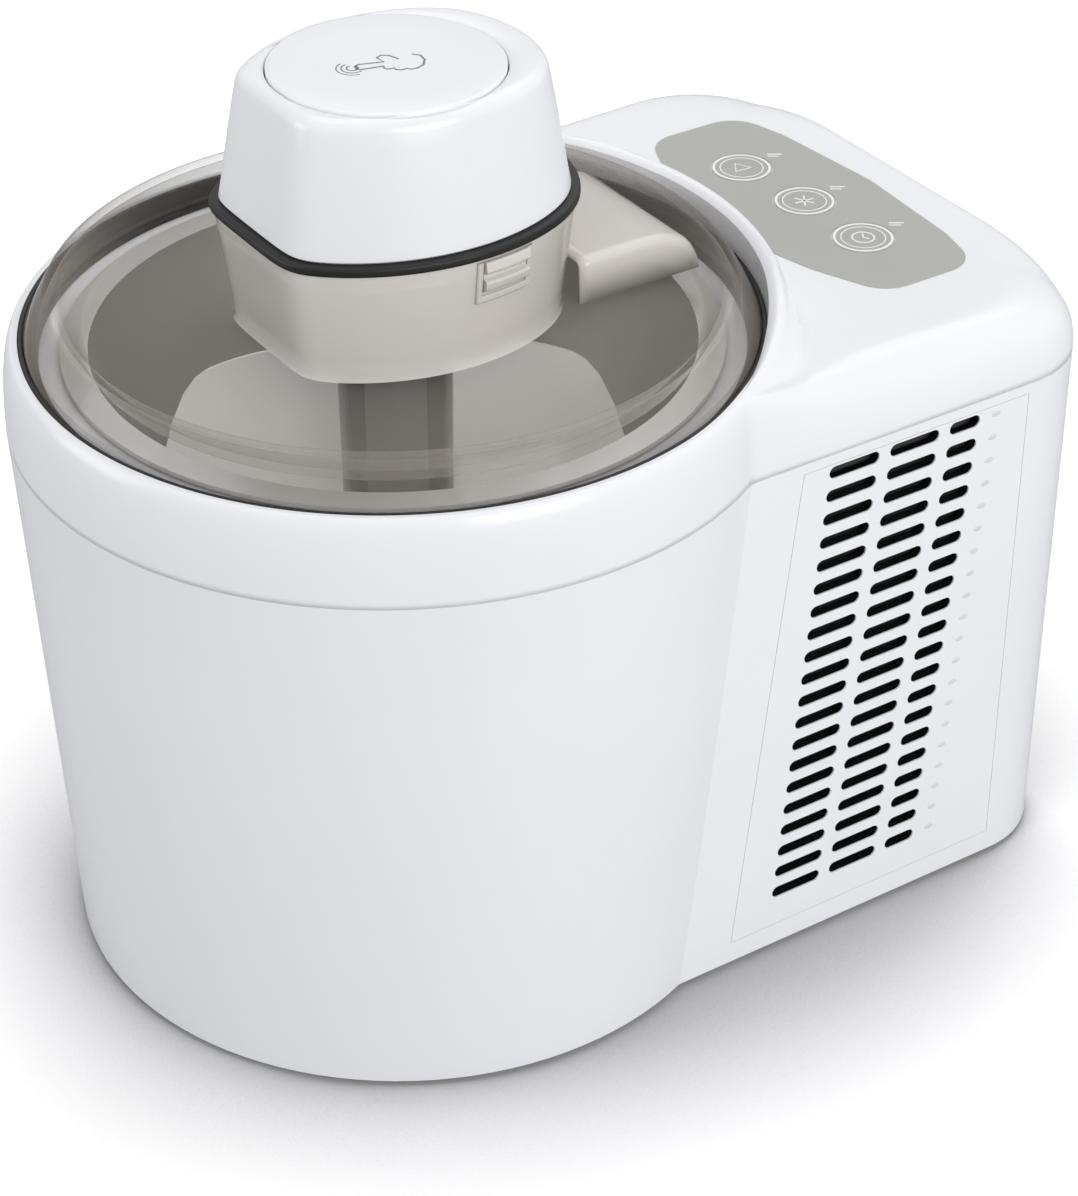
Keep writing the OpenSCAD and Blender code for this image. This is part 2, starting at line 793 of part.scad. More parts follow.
// Tub of the motor head that hangs in the motor cup.
module motor_base() {
    tub_in = lid_wall + clear;
    color("dimgray") placed() difference() {
        cup_block(tub_z, cup_z, tub_in);
        cup_block(tub_z + lid_wall, cup_z + 0.01, tub_in + 2);
        translate([0, 0, tub_z - over]) cylinder(h = lid_wall + 2 * over, r = shaft_r + run_fit);
        translate([0, 0, tub_z - over]) cylinder(h = over + 0.8, r = coupling_r + 1);
        latch_pocket(latch_r - latch_travel - clear);
    }
    color("dimgray") placed() {
        translate([idler_x, idler_y, tub_z + lid_wall - 0.5])
            cylinder(h = high_gear_z + gear_t + 1.2 - tub_z - lid_wall + 0.5, r = idler_pin_r);
        for (p = [[24, 6], [16, 32], [-14, -30]])
            translate([p[0], p[1], tub_z + lid_wall - 0.5])
                cylinder(h = gear_plate_z - tub_z - lid_wall + 0.5, r = post_r);
    }
}

module motor_seal() {
    color("black") placed() difference() {
        cup_block(cup_z, cup_z + motor_seal_t, -0.8);
        translate([0, 0, -0.01]) cup_block(cup_z - 0.01, cup_z + motor_seal_t + 0.03, 4);
    }
}

module motor_cap() {
    plate_z = cap_top_z - cap_wall;
    guide_z = plate_z - button_travel - 5.3;
    color("white") placed() difference() {
        head_block(cap_z, cap_top_z, head_draft, 0);
        head_block(cap_z - 0.01, plate_z, head_draft, cap_wall);
        translate([0, 0, plate_z - over]) cylinder(h = cap_wall + 2 * over, r = button_r + clear);
    }
    color("white") placed() difference() {
        intersection() {
            head_block(cap_z, cap_top_z, head_draft, cap_wall / 2);
            translate([0, 0, guide_z]) cylinder(h = 2, r = 2 * button_r);
        }
        translate([0, 0, guide_z - over]) cylinder(h = 4, r = 7.7 + clear);
    }
}

module press_button() {
    top = cap_top_z + button_proud;
    color("white") placed() {
        translate([0, 0, top - button_t - 1.5]) cylinder(h = button_t + 0.7, r = button_r);
        translate([0, 0, top - 0.8]) cylinder(h = 0.8, r1 = button_r, r2 = button_r - 0.8);
        translate([0, 0, top - button_t - 9]) cylinder(h = 8, r = 7.7);
    }
}

module motor() {
    color("silver") placed() translate([0, motor_y, gear_plate_z + gear_plate_t]) {
        cylinder(h = motor_h, r = motor_r);
        translate([0, 0, motor_h]) cylinder(h = 2, r = 5);
    }
}

module gear_plate() {
    color("gainsboro") placed() difference() {
        cup_block(gear_plate_z, gear_plate_z + gear_plate_t, lid_wall + clear + 2.3);
        latch_pocket(latch_r - latch_travel - clear);
    }
}

// Spur gear with straight-sided teeth, one tooth centred on +x.
module gear(teeth, t) {
    r = gear_module * teeth / 2;
    add = 0.8 * gear_module;
    ded = 1.2 * gear_module;
    half = 90 / teeth - backlash / 4 / r * 180 / PI;
    tip = half * 0.45;
    root = half * 1.6;
    linear_extrude(t) polygon([for (i = [0:teeth - 1]) let (a = i * 360 / teeth) each [
        (r - ded) * [cos(a - root), sin(a - root)],
        (r + add) * [cos(a - tip), sin(a - tip)],
        (r + add) * [cos(a + tip), sin(a + tip)],
        (r - ded) * [cos(a + root), sin(a + root)]]]);
}

module motor_pinion() {
    mesh_angle = atan2(idler_y - motor_y, idler_x);
    color("gold") placed() translate([0, motor_y, 0]) {
        translate([0, 0, high_gear_z]) rotate([0, 0, mesh_angle]) gear(small_teeth, gear_t);
    }
}

module idler_gear() {
    to_motor = atan2(motor_y - idler_y, -idler_x);
    to_output = atan2(-idler_y, -idler_x);
    color("white") placed() translate([idler_x, idler_y, 0]) difference() {
        union() {
            translate([0, 0, high_gear_z])
                rotate([0, 0, to_motor + 180 / large_teeth]) gear(large_teeth, gear_t);
            translate([0, 0, low_gear_z]) rotate([0, 0, to_output]) gear(small_teeth, gear_t + 1);
        }
        translate([0, 0, low_gear_z - over])
            cylinder(h = high_gear_z + gear_t, r = idler_pin_r + run_fit);
    }
}

module output_shaft() {
    to_idler = atan2(idler_y, idler_x);
    color("gray") placed() {
        translate([0, 0, low_gear_z])
            rotate([0, 0, to_idler + 180 / large_teeth]) gear(large_teeth, gear_t);
        translate([0, 0, coupling_z + 1])
            cylinder(h = gear_plate_z - 0.6 - coupling_z - 1, r = shaft_r);
        translate([0, 0, coupling_z + 0.5])
            cylinder(h = tub_z - seat - coupling_z - 0.5, r = coupling_r, $fn = 6);
    }
}

module motor_latch() {
    color("tan") placed() at_latch(latch_r)
        translate([0, -latch_w / 2, cup_z - latch_h]) {
            cube([latch_t, latch_w, latch_h - 1]);
            for (z = [2, 6.5]) translate([latch_t - 0.5, 0, z]) cube([1.6, latch_w, 2.2]);
        }
}

lower_housing();
top_cover();
base_plate();
right_vent_panel();
left_vent_panel();
rear_grille();
cord_gland();
control_overlay();
key(0);  // start_key
key(1);  // mode_key
key(2);  // timer_key
control_board();
foot(0);  // foot_front_left
foot(1);  // foot_front_right
foot(2);  // foot_rear_left
foot(3);  // foot_rear_right
case_screws();
cooling_well();
insulation();
cold_block();
thermoelectric_module();
heat_sink();
fan_frame();
fan_rotor();
power_board();
transformer();
lid_seal();
mixing_bowl();
paddle();
lid();
lid_contact();
motor_base();
motor_seal();
motor_cap();
press_button();
motor();
gear_plate();
motor_pinion();
idler_gear();
output_shaft();
motor_latch();
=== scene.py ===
# %% [markdown]
# # Ice cream maker
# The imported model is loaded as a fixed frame. Every piece made here rides on one of its bodies,
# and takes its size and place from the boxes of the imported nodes. Lengths in the frame are metres.
# The helpers below take millimetres, because the sizes of moulded parts are easier to read that way.

# %% The frame
import bpy
import bmesh
import math
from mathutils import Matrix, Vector


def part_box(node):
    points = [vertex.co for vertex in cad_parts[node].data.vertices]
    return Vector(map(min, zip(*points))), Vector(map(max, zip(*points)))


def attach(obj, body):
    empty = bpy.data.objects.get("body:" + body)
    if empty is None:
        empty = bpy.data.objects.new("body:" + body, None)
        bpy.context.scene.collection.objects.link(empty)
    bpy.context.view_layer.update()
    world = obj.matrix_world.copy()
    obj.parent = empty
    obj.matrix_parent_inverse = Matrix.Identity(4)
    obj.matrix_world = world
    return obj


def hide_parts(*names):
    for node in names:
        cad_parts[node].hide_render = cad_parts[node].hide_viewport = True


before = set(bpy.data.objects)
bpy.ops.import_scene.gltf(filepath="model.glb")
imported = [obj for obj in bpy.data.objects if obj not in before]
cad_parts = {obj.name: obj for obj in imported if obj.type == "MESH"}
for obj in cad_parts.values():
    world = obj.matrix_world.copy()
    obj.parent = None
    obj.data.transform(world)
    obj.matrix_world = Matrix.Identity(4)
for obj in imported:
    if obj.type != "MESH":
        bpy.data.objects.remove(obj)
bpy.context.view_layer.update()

# %% [markdown]
# ## Places
# The machine is built round the axis of the mixing bowl. The outer sizes come from the boxes of the
# casing pieces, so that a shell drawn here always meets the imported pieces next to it.

# %% Sizes of the casing
MM = 0.001


def span(node):
    """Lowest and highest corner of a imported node, in millimetres."""
    low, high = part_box(node)
    return Vector(low) / MM, Vector(high) / MM


bowl_low, bowl_high = span("mixing_bowl")
house_high = span("lower_housing")[1]
cover_high = span("top_cover")[1]
seal_low, seal_high = span("lid_seal")
lid_high = span("lid")[1]
head_low, head_high = span("motor_cap")
AXIS_Y = (bowl_low.y + bowl_high.y) / 2
SECTION_R = house_high.x
BOX_HALF = span("right_vent_panel")[1].x
REAR_Y = house_high.y - AXIS_Y
CORNER_R = 30.0
WALL = 2.6
CREASE_Z = house_high.z
SEAM_Z = seal_high.z - 0.1
WELL_R = seal_high.x + 0.2
COLLAR_Z = cover_high.z
DECK_Z = span("control_overlay")[1].z - 0.2
LID_R = lid_high.x
CUP_Z = lid_high.z
CAP_Z, CAP_TOP_Z = head_low.z, head_high.z
print("axis", round(AXIS_Y, 2), "crease", round(CREASE_Z, 2), "seam", round(SEAM_Z, 2),
      "cup", round(CUP_Z, 2))

# %% [markdown]
# ## Small mesh helpers
# Most shells of this machine are lofts: a row of outlines with the same number of points, joined by
# quads. One helper builds the mesh, one joins rings, and one turns a profile round the bowl axis.

# %% Mesh helpers
def at(x, y, z):
    """A point given from the bowl axis in millimetres, as a point of the frame in metres."""
    return (x * MM, (y + AXIS_Y) * MM, z * MM)


def mesh_piece(name, points, faces, body, replaced=(), slot=None, angle=35):
    """A new piece from points and faces, shaded smooth below an angle, riding on a body."""
    mesh = bpy.data.meshes.new(name)
    mesh.from_pydata([tuple(p) for p in points], [], faces)
    work = bmesh.new()
    work.from_mesh(mesh)
    bmesh.ops.remove_doubles(work, verts=work.verts, dist=1e-6)
    bmesh.ops.recalc_face_normals(work, faces=work.faces)
    work.to_mesh(mesh)
    work.free()
    piece = bpy.data.objects.new(name, mesh)
    bpy.context.scene.collection.objects.link(piece)
    smooth(piece, angle)
    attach(piece, body)
    if replaced:
        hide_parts(*replaced)
    return piece


def smooth(piece, angle=35):
    """Smooth shading, with an edge kept sharp where two faces meet at more than an angle."""
    for polygon in piece.data.polygons:
        polygon.use_smooth = True
    piece.data.set_sharp_from_angle(angle=math.radians(angle))


def loft_faces(rings, across, closed=True):
    """Quads between rows of points. rings rows of across points each."""
    faces = []
    last = across if closed else across - 1
    for i in range(rings - 1):
        for j in range(last):
            k = (j + 1) % across
            faces.append((i * across + j, i * across + k, (i + 1) * across + k, (i + 1) * across + j))
    return faces


def loft(name, rings, body, joined=False, **facts):
    """Joins rings of points. joined closes the last ring on the first, as for a hollow moulding."""
    rows = rings + [rings[0]] if joined else rings
    points = [p for ring in rows for p in ring]
    return mesh_piece(name, points, loft_faces(len(rows), len(rings[0])), body, **facts)


def circle(radius, z, count=192):
    """A ring of points round the bowl axis."""
    turns = [2 * math.pi * i / count for i in range(count)]
    return [at(radius * math.cos(a), radius * math.sin(a), z) for a in turns]


def fillet(corners, steps=5):
    """Rounds a closed outline. Each corner is (r, z, radius)."""
    out = []
    count = len(corners)
    for i, (x, y, radius) in enumerate(corners):
        here = Vector((x, y))
        to_last = Vector(corners[i - 1][:2]) - here
        to_next = Vector(corners[(i + 1) % count][:2]) - here
        if radius <= 0:
            out.append((x, y))
            continue
        turn = to_last.angle(to_next)
        reach = min(radius / math.tan(turn / 2), 0.45 * to_last.length, 0.45 * to_next.length)
        start = here + to_last.normalized() * reach
        end = here + to_next.normalized() * reach
        for k in range(steps + 1):
            t = k / steps
            point = start * (1 - t) ** 2 + here * 2 * t * (1 - t) + end * t ** 2
            out.append((point.x, point.y))
    return out


def turned(name, corners, body, count=192, **facts):
    """A closed profile of (r, z, corner radius) turned round the bowl axis."""
    profile = fillet(corners)
    rings = [circle(r, z, count) for r, z in profile]
    return loft(name, rings, body, joined=True, **facts)


print("helpers ready")

# %% [markdown]
# ## Colour and material helpers
# Colours are written as sRGB hex, as a colour card gives them, and turned to linear once. One
# function adds a node with its settings and links. A finish is a base shader plus fine detail:
# moulded plastic has a faint ripple and a slight change of gloss, and metal has drawing marks.

# %% Material helpers
def linear(code):
    """An sRGB hex colour as linear red, green, blue and full alpha."""
    parts = [int(code[i:i + 2], 16) / 255 for i in (1, 3, 5)]
    return tuple(c / 12.92 if c <= 0.04045 else ((c + 0.055) / 1.055) ** 2.4 for c in parts) + (1.0,)


def add(material, kind, settings=None, links=None):
    """Adds a node, sets its properties and inputs, and links its inputs from (node, output)."""
    node = material.node_tree.nodes.new(kind)
    for key, value in (settings or {}).items():
        if isinstance(key, str) and hasattr(node, key) and key not in node.inputs:
            setattr(node, key, value)
        else:
            node.inputs[key].default_value = value
    for key, (source, output) in (links or {}).items():
        material.node_tree.links.new(source.outputs[output], node.inputs[key])
    return node


def new_finish(name, **shader):
    """A material with a principled shader. Returns the material and its shader node."""
    material = bpy.data.materials.new(name)
    material.use_nodes = True
    node = material.node_tree.nodes["Principled BSDF"]
    for key, value in shader.items():
        node.inputs[key.replace("_", " ")].default_value = value
    return material, node


def detail(material, shader, grain_mm, depth_mm, colours, rough, stretch=(1, 1, 1)):
    """Noise at a real grain size that drives colour, roughness and a shallow bump."""
    coords = add(material, "ShaderNodeTexCoord")
    place = add(material, "ShaderNodeMapping", {"Scale": stretch}, {"Vector": (coords, "Object")})
    fine = add(material, "ShaderNodeTexNoise", {"Scale": 1 / (grain_mm * MM), "Detail": 3.0},
               {"Vector": (place, "Vector")})
    broad = add(material, "ShaderNodeTexNoise", {"Scale": 1 / (40 * MM), "Detail": 2.0},
                {"Vector": (coords, "Object")})
    tint = add(material, "ShaderNodeMixRGB", {"Color1": linear(colours[0]), "Color2": linear(colours[1])},
               {"Fac": (broad, "Fac")})
    gloss = add(material, "ShaderNodeMapRange", {"To Min": rough[0], "To Max": rough[1]},
                {"Value": (fine, "Fac")})
    bump = add(material, "ShaderNodeBump", {"Strength": 1.0, "Distance": depth_mm * MM},
               {"Height": (fine, "Fac")})
    tree = material.node_tree
    tree.links.new(tint.outputs["Color"], shader.inputs["Base Color"])
    tree.links.new(gloss.outputs["Result"], shader.inputs["Roughness"])
    tree.links.new(bump.outputs["Normal"], shader.inputs["Normal"])
    return material


def paint(piece, material):
    """Gives a piece one material in every slot."""
    piece.data.materials.clear()
    piece.data.materials.append(material)
    return piece


print("material helpers ready")

# %% [markdown]
# ## White casing plastic
# The casing, cover and motor cap are ABS, injection moulded in a polished tool and left unpainted.
# That gives a bright, slightly cool white with soft, wide reflections. A ripple of a few microns over
# some millimetres keeps a reflection from being perfectly straight, as on every real moulding.

# %% White ABS
white_abs, shader = new_finish("polished white ABS", IOR=1.53)
detail(white_abs, shader, 9.0, 0.004, ("#F0F1F5", "#F5F6FA"), (0.2, 0.26))


SKIN_MM = 0.45


def painted_slot_shade_abs(name, axis, outer_mm):
    """White ABS with painted shade: its colour turns near black below the outer skin, in place of the shade
    that lies on the slot walls.
    """
    material, shader = new_finish(name, IOR=1.53)
    detail(material, shader, 9.0, 0.004, ("#F0F1F5", "#F5F6FA"), (0.2, 0.26))
    skin = shader.inputs["Base Color"].links[0].from_node
    coords = add(material, "ShaderNodeTexCoord")
    parts = add(material, "ShaderNodeSeparateXYZ", links={"Vector": (coords, "Object")})
    size = add(material, "ShaderNodeMath", {"operation": "ABSOLUTE"}, {0: (parts, axis)})
    # Painted shade: deeper than the outer skin, the colour is mixed to near black.
    slot_shade_mask = add(material, "ShaderNodeMath", {"operation": "LESS_THAN", 1: (outer_mm - SKIN_MM) * MM},
                 {0: (size, "Value")})
    slot_shade_mix = add(material, "ShaderNodeMixRGB", {"Color2": linear("#101113")},
                   {"Fac": (slot_shade_mask, "Value"), "Color1": (skin, "Color")})
    material.node_tree.links.new(slot_shade_mix.outputs["Color"], shader.inputs["Base Color"])
    return material


# Side vents and rear grille: white ABS with painted shade in their slots.
side_abs = painted_slot_shade_abs("white ABS with painted slot shade, side vents", "X", BOX_HALF)
rear_abs = painted_slot_shade_abs("white ABS with painted slot shade, rear grille", "Y", house_high.y)

base_abs, shader = new_finish("textured white ABS", IOR=1.53)
detail(base_abs, shader, 0.6, 0.02, ("#D9DADC", "#E0E1E2"), (0.5, 0.62))
print("white plastics:", white_abs.name, base_abs.name)

# %% [markdown]
# ## Smoky clear plastic
# The lid is polycarbonate with a warm smoke tint, moulded in a polished tool. It lets light through,
# and looks denser where the eye meets it at a grazing angle, so its alpha follows the facing angle.
# The cup round the motor head is the same plastic with a white tub close behind it.

# %% Smoky polycarbonate
def smoky(name, colours, edge_colour, clear_alpha, edge_alpha):
    """Tinted polycarbonate that grows denser and darker towards grazing angles."""
    material, shader = new_finish(name, IOR=1.58)
    detail(material, shader, 14.0, 0.003, colours, (0.05, 0.09))
    tint = shader.inputs["Base Color"].links[0].from_node
    facing = add(material, "ShaderNodeLayerWeight", {"Blend": 0.5})
    edge = add(material, "ShaderNodeMath", {"operation": "POWER", 1: 2.4}, {0: (facing, "Facing")})
    cover = add(material, "ShaderNodeMapRange", {"To Min": clear_alpha, "To Max": edge_alpha},
                {"Value": (edge, "Value")})
    shade = add(material, "ShaderNodeMixRGB", {"Color2": linear(edge_colour)},
                {"Fac": (edge, "Value"), "Color1": (tint, "Color")})
    material.node_tree.links.new(cover.outputs["Result"], shader.inputs["Alpha"])
    material.node_tree.links.new(shade.outputs["Color"], shader.inputs["Base Color"])
    return material


smoke = smoky("smoky clear polycarbonate", ("#C6BEB6", "#D0C8C0"), "#6E665F", 0.02, 0.7)
smoke_backed = smoky("smoky polycarbonate over white", ("#EFEAE4", "#F4EFEA"), "#7D756D", 0.8, 1.0)
smoke_rim = smoky("smoky polycarbonate rim", ("#A39B93", "#ADA59D"), "#5A534D", 0.12, 0.9)
smoke_dark = smoky("dark smoky polycarbonate", ("#55524E", "#5F5C58"), "#33312E", 0.5, 0.9)
print("clear plastics:", smoke.name, smoke_backed.name, smoke_dark.name)

# %% [markdown]
# ## Film, rubber and engineering plastics
# The control overlay is a printed polycarbonate film with a satin face. Its print is white ink. The
# seals and feet are moulded rubber, almost black and matt. The fan and the sockets are black nylon,
# the gears and the paddle acetal, which is white and waxy. The acetal is given a small painted glow,
# light that no lamp gives, so that the paddle stays readable under the smoky lid; an Emission Strength
# of 0 takes it away.

# %% Film and rubber
overlay_film, shader = new_finish("satin control film", IOR=1.58)
detail(overlay_film, shader, 0.5, 0.004, ("#ABACA6", "#B2B3AD"), (0.34, 0.44))

key_film, shader = new_finish("satin key film", IOR=1.58)
detail(key_film, shader, 0.5, 0.004, ("#A9AAA4", "#B0B1AB"), (0.3, 0.4))

white_ink, shader = new_finish("white screen ink", IOR=1.5)
detail(white_ink, shader, 0.3, 0.004, ("#F2F2EE", "#F8F8F5"), (0.4, 0.5))

grey_ink, shader = new_finish("grey pad-printed ink", IOR=1.5)
detail(grey_ink, shader, 0.3, 0.004, ("#77797D", "#818387"), (0.4, 0.5))

black_rubber, shader = new_finish("black moulded rubber", IOR=1.52)
detail(black_rubber, shader, 0.4, 0.01, ("#0E0E0F", "#161617"), (0.45, 0.6))

black_nylon, shader = new_finish("black nylon", IOR=1.53)
detail(black_nylon, shader, 0.5, 0.015, ("#17181A", "#1F2022"), (0.42, 0.55))

acetal, shader = new_finish("white acetal", IOR=1.48)
detail(acetal, shader, 1.2, 0.006, ("#F0EFEB", "#F6F5F1"), (0.25, 0.33))
# Painted light: a small glow on the acetal, though it is no lamp.
shader.inputs["Emission Color"].default_value = linear("#F6F5F1")
shader.inputs["Emission Strength"].default_value = 0.18

grey_abs, shader = new_finish("grey ABS", IOR=1.53)
detail(grey_abs, shader, 0.7, 0.012, ("#8E9092", "#97999B"), (0.4, 0.5))
print("films, rubbers and nylon ready")

# %% [markdown]
# ## Metals and inner materials
# The mixing bowl and the well are spun aluminium: the roller leaves fine rings round the axis. The
# heat sink is extruded, so its lines run along the fins. Screws and motor are plated steel. The foam
# is polyurethane, the boards are glass epoxy under green solder mask.

# %% Metals
def spun(name, colours, rough):
    """Aluminium turned on a former: rings round the axis about a millimetre apart."""
    material, shader = new_finish(name, Metallic=1.0)
    detail(material, shader, 1.0, 0.01, colours, rough, stretch=(0.02, 0.02, 1.0))
    return material


bowl_metal = spun("spun aluminium bowl", ("#C4C3C0", "#D0CFCC"), (0.3, 0.42))
well_metal = spun("spun aluminium well", ("#B4B4B2", "#BFBFBD"), (0.36, 0.48))

sink_metal, shader = new_finish("extruded aluminium", Metallic=1.0)
detail(sink_metal, shader, 0.8, 0.012, ("#A6A8AA", "#B1B3B5"), (0.35, 0.5), stretch=(1.0, 1.0, 0.04))

steel, shader = new_finish("zinc-plated steel", Metallic=1.0)
detail(steel, shader, 0.5, 0.006, ("#9C9DA0", "#A9AAAD"), (0.28, 0.4))

brass, shader = new_finish("turned brass", Metallic=1.0)
detail(brass, shader, 0.4, 0.006, ("#C2A05A", "#CFAE68"), (0.25, 0.35))

foam, shader = new_finish("polyurethane foam", IOR=1.45)
detail(foam, shader, 1.5, 0.3, ("#D8CC9C", "#E4D9AC"), (0.8, 0.95))

board, shader = new_finish("green glass-epoxy board", IOR=1.55)
detail(board, shader, 2.0, 0.02, ("#1E5A34", "#28693F"), (0.3, 0.4))

alumina, shader = new_finish("alumina plate", IOR=1.76)
detail(alumina, shader, 0.5, 0.01, ("#E9E8E4", "#F1F0EC"), (0.45, 0.6))

core_metal, shader = new_finish("lacquered core steel", Metallic=0.6)
detail(core_metal, shader, 0.7, 0.05, ("#3A3B3E", "#46474A"), (0.4, 0.5), stretch=(0.05, 1.0, 1.0))
print("metals and inner materials ready")

# %% [markdown]
# ## Imported pieces that keep their shape
# The housing, vent panels, fan, bowl and the inner pieces already have the right form. They keep
# their meshes and get a finish and a small edge radius.

# %% Finish the imported pieces
KEPT = {
    "lower_housing": (white_abs, 0.5), "base_plate": (base_abs, 0.3),
    "right_vent_panel": (side_abs, 0.25), "left_vent_panel": (side_abs, 0.25),
    "rear_grille": (rear_abs, 0.3), "cord_gland": (black_rubber, 0.3),
    "control_board": (board, 0.1), "case_screws": (steel, 0.15),
    "cooling_well": (well_metal, 0.3), "insulation": (foam, 0.5), "cold_block": (sink_metal, 0.2),
    "thermoelectric_module": (alumina, 0.1), "heat_sink": (sink_metal, 0.15),
    "fan_frame": (black_nylon, 0.3), "fan_rotor": (black_nylon, 0.2), "power_board": (board, 0.1),
    "transformer": (core_metal, 0.2), "mixing_bowl": (bowl_metal, 0.3), "motor_base": (white_abs, 0.3),
    "lid_contact": (white_abs, 0.3), "motor": (steel, 0.3), "gear_plate": (grey_abs, 0.2),
    "motor_pinion": (brass, 0.05), "idler_gear": (acetal, 0.05), "output_shaft": (acetal, 0.05),
    "control_overlay": (overlay_film, 0.1), "start_key": (key_film, 0.15), "mode_key": (key_film, 0.15),
    "timer_key": (key_film, 0.15), "foot_front_left": (black_rubber, 0.3),
    "foot_front_right": (black_rubber, 0.3), "foot_rear_left": (black_rubber, 0.3),
    "foot_rear_right": (black_rubber, 0.3),
}
for node, (material, edge_mm) in KEPT.items():
    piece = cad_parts[node]
    for slot in piece.material_slots:
        slot.material = material
    bevel = piece.modifiers.new("edge radius", "BEVEL")
    bevel.width = edge_mm * MM
    bevel.segments = 2
    bevel.limit_method = "ANGLE"
    bevel.angle_limit = math.radians(40)
    bevel.harden_normals = False
print("finished", len(KEPT), "packed pieces")

# %% [markdown]
# ## Top cover
# One moulding: a band round the bowl, a deck over the cooling box with a broad soft shoulder, and a
# collar that rises behind the lid. It is drawn as rays from the bowl axis to the edge of the casing.
# At each point the height is the highest of four forms: band, collar, deck and the deck's edge. Only
# the ring round the bowl and the deck are blended softly where they meet.

# %% Forms of the top cover
COLLAR_TOE = 9.6
SHOULDER = 24.5
REAR_SHOULDER = 7.0
DECK_POWER = 2.1
BAND_POWER = 2.3


def outline_reach(turn):
    """Distance from the bowl axis to the casing's edge at the crease."""
    c, s = math.cos(turn), math.sin(turn)
    if s <= 0:
        return SECTION_R
    side = BOX_HALF / abs(c) if abs(c) > 1e-9 else 1e9
    rear = REAR_Y / s
    reach = min(side, rear)
    x, y = reach * c, reach * s
    if abs(x) > BOX_HALF - CORNER_R and y > REAR_Y - CORNER_R:
        cx, cy = math.copysign(BOX_HALF - CORNER_R, c), REAR_Y - CORNER_R
        along = cx * c + cy * s
        reach = along + math.sqrt(max(along * along - cx * cx - cy * cy + CORNER_R ** 2, 0))
    return max(SECTION_R, reach)


def outside_slice(x, y, t):
    """How far a point lies outside the deck's outline at step t from the edge (0) to the rim (1)."""
    radius = CORNER_R + 12 * t
    w = BOX_HALF - SHOULDER * t - radius
    rear = REAR_Y - REAR_SHOULDER * t - radius
    dx, dy = max(abs(x) - w, 0), max(y - rear, 0)
    return math.hypot(dx, dy) - radius


def deck_height(x, y):
    """Height of the deck and its shoulder over a point. It keeps falling beyond the edge."""
    beyond = outside_slice(x, y, 0)
    if beyond > 0:
        return CREASE_Z - 3 * beyond
    low, high = 0.0, 1.0
    for _ in range(24):
        middle = (low + high) / 2
        if outside_slice(x, y, middle) > 0:
            high = middle
        else:
            low = middle
    if outside_slice(x, y, 1) <= 0:
        low = 1.0
    return CREASE_Z + (DECK_Z - CREASE_Z) * (1 - (1 - low) ** DECK_POWER) ** (1 / DECK_POWER)


def band_height(r):
    """Height of the shoulder round the bowl, a quarter of a tall ellipse."""
    q = max((r - WELL_R - 1.0) / (SECTION_R - WELL_R - 1.0), 0)
    if q > 1:
        return CREASE_Z - 4 * (r - SECTION_R)
    return CREASE_Z + (SEAM_Z - CREASE_Z) * (1 - q ** BAND_POWER) ** (1 / BAND_POWER)


def ease(t):
    """Smooth step from 0 to 1."""
    t = min(max(t, 0), 1)
    return t * t * (3 - 2 * t)


def collar_height(r, turn):
    """Height of the collar, which rises behind the lid and rolls down to the deck."""
    rise = ease((WELL_R * math.sin(turn) - 50) / 42) * (COLLAR_Z - SEAM_Z)
    toe = COLLAR_TOE * (0.25 + 0.75 * ease((r * math.sin(turn) - 50) / 35))
    u = (r - WELL_R) / toe
    crest = 0.34
    top = SEAM_Z + rise
    if u < crest:
        return top - 1.4 * (1 - u / crest) ** 2
    return top - (u - crest) ** 1.6 * 1.9 * (top - DECK_Z + 3)


def soft_max(heights, k):
    """The highest of some heights, rounded where two of them are near each other."""
    top = heights[0]
    for other in heights[1:]:
        near = max(k - abs(top - other), 0) / k
        top = max(top, other) + near * near * k / 4
    return top


def cover_height(r, turn):
    """Height of the cover over a point given in polar form."""
    x, y = r * math.cos(turn), r * math.sin(turn)
    if y < 30:
        return band_height(r)
    behind = ease((y - 30) / 40)
    ring = max(band_height(r), collar_height(r, turn))
    narrow = SECTION_R - WELL_R - 1.0
    width = narrow + (SHOULDER - narrow) * ease((y - 52) / 55)
    high = SEAM_Z + (DECK_Z - SEAM_Z) * ease((y - 50) / 30)
    q = min(max(1 - (outline_reach(turn) - r) / width, 0), 1)
    edge = CREASE_Z + (high - CREASE_Z) * (1 - q ** BAND_POWER) ** (1 / BAND_POWER)
    deck = max(deck_height(x, y), edge)
    return max(soft_max([ring, deck], 6.0 * behind + 0.1), CREASE_Z)


print("deck at its middle", round(cover_height(140, math.pi / 2), 2))

# %% Build the top cover
TURNS, RAYS = 360, 52
LEDGE_Z, LEDGE_R = seal_low.z, bowl_high.x - 5
cover_rings = [circle(LEDGE_R, LEDGE_Z, TURNS), circle(WELL_R - 0.4, LEDGE_Z, TURNS),
               circle(WELL_R, LEDGE_Z + 0.4, TURNS)]
for step in range(RAYS + 1):
    f = (1 - math.cos(math.pi * step / RAYS)) / 2
    ring = []
    for i in range(TURNS):
        turn = 2 * math.pi * i / TURNS
        reach = outline_reach(turn)
        r = WELL_R + (reach - WELL_R) * f
        z = CREASE_Z if step == RAYS else cover_height(r, turn)
        ring.append(at(r * math.cos(turn), r * math.sin(turn), z))
    cover_rings.append(ring)
cover = loft("top_cover_shell", cover_rings, "base_unit", replaced=["top_cover"],
             slot="white_plastic", angle=30)
thick = cover.modifiers.new("wall", "SOLIDIFY")
thick.thickness = 2.0 * MM
thick.offset = -1
paint(cover, white_abs)
print("top cover:", len(cover.data.polygons), "faces")

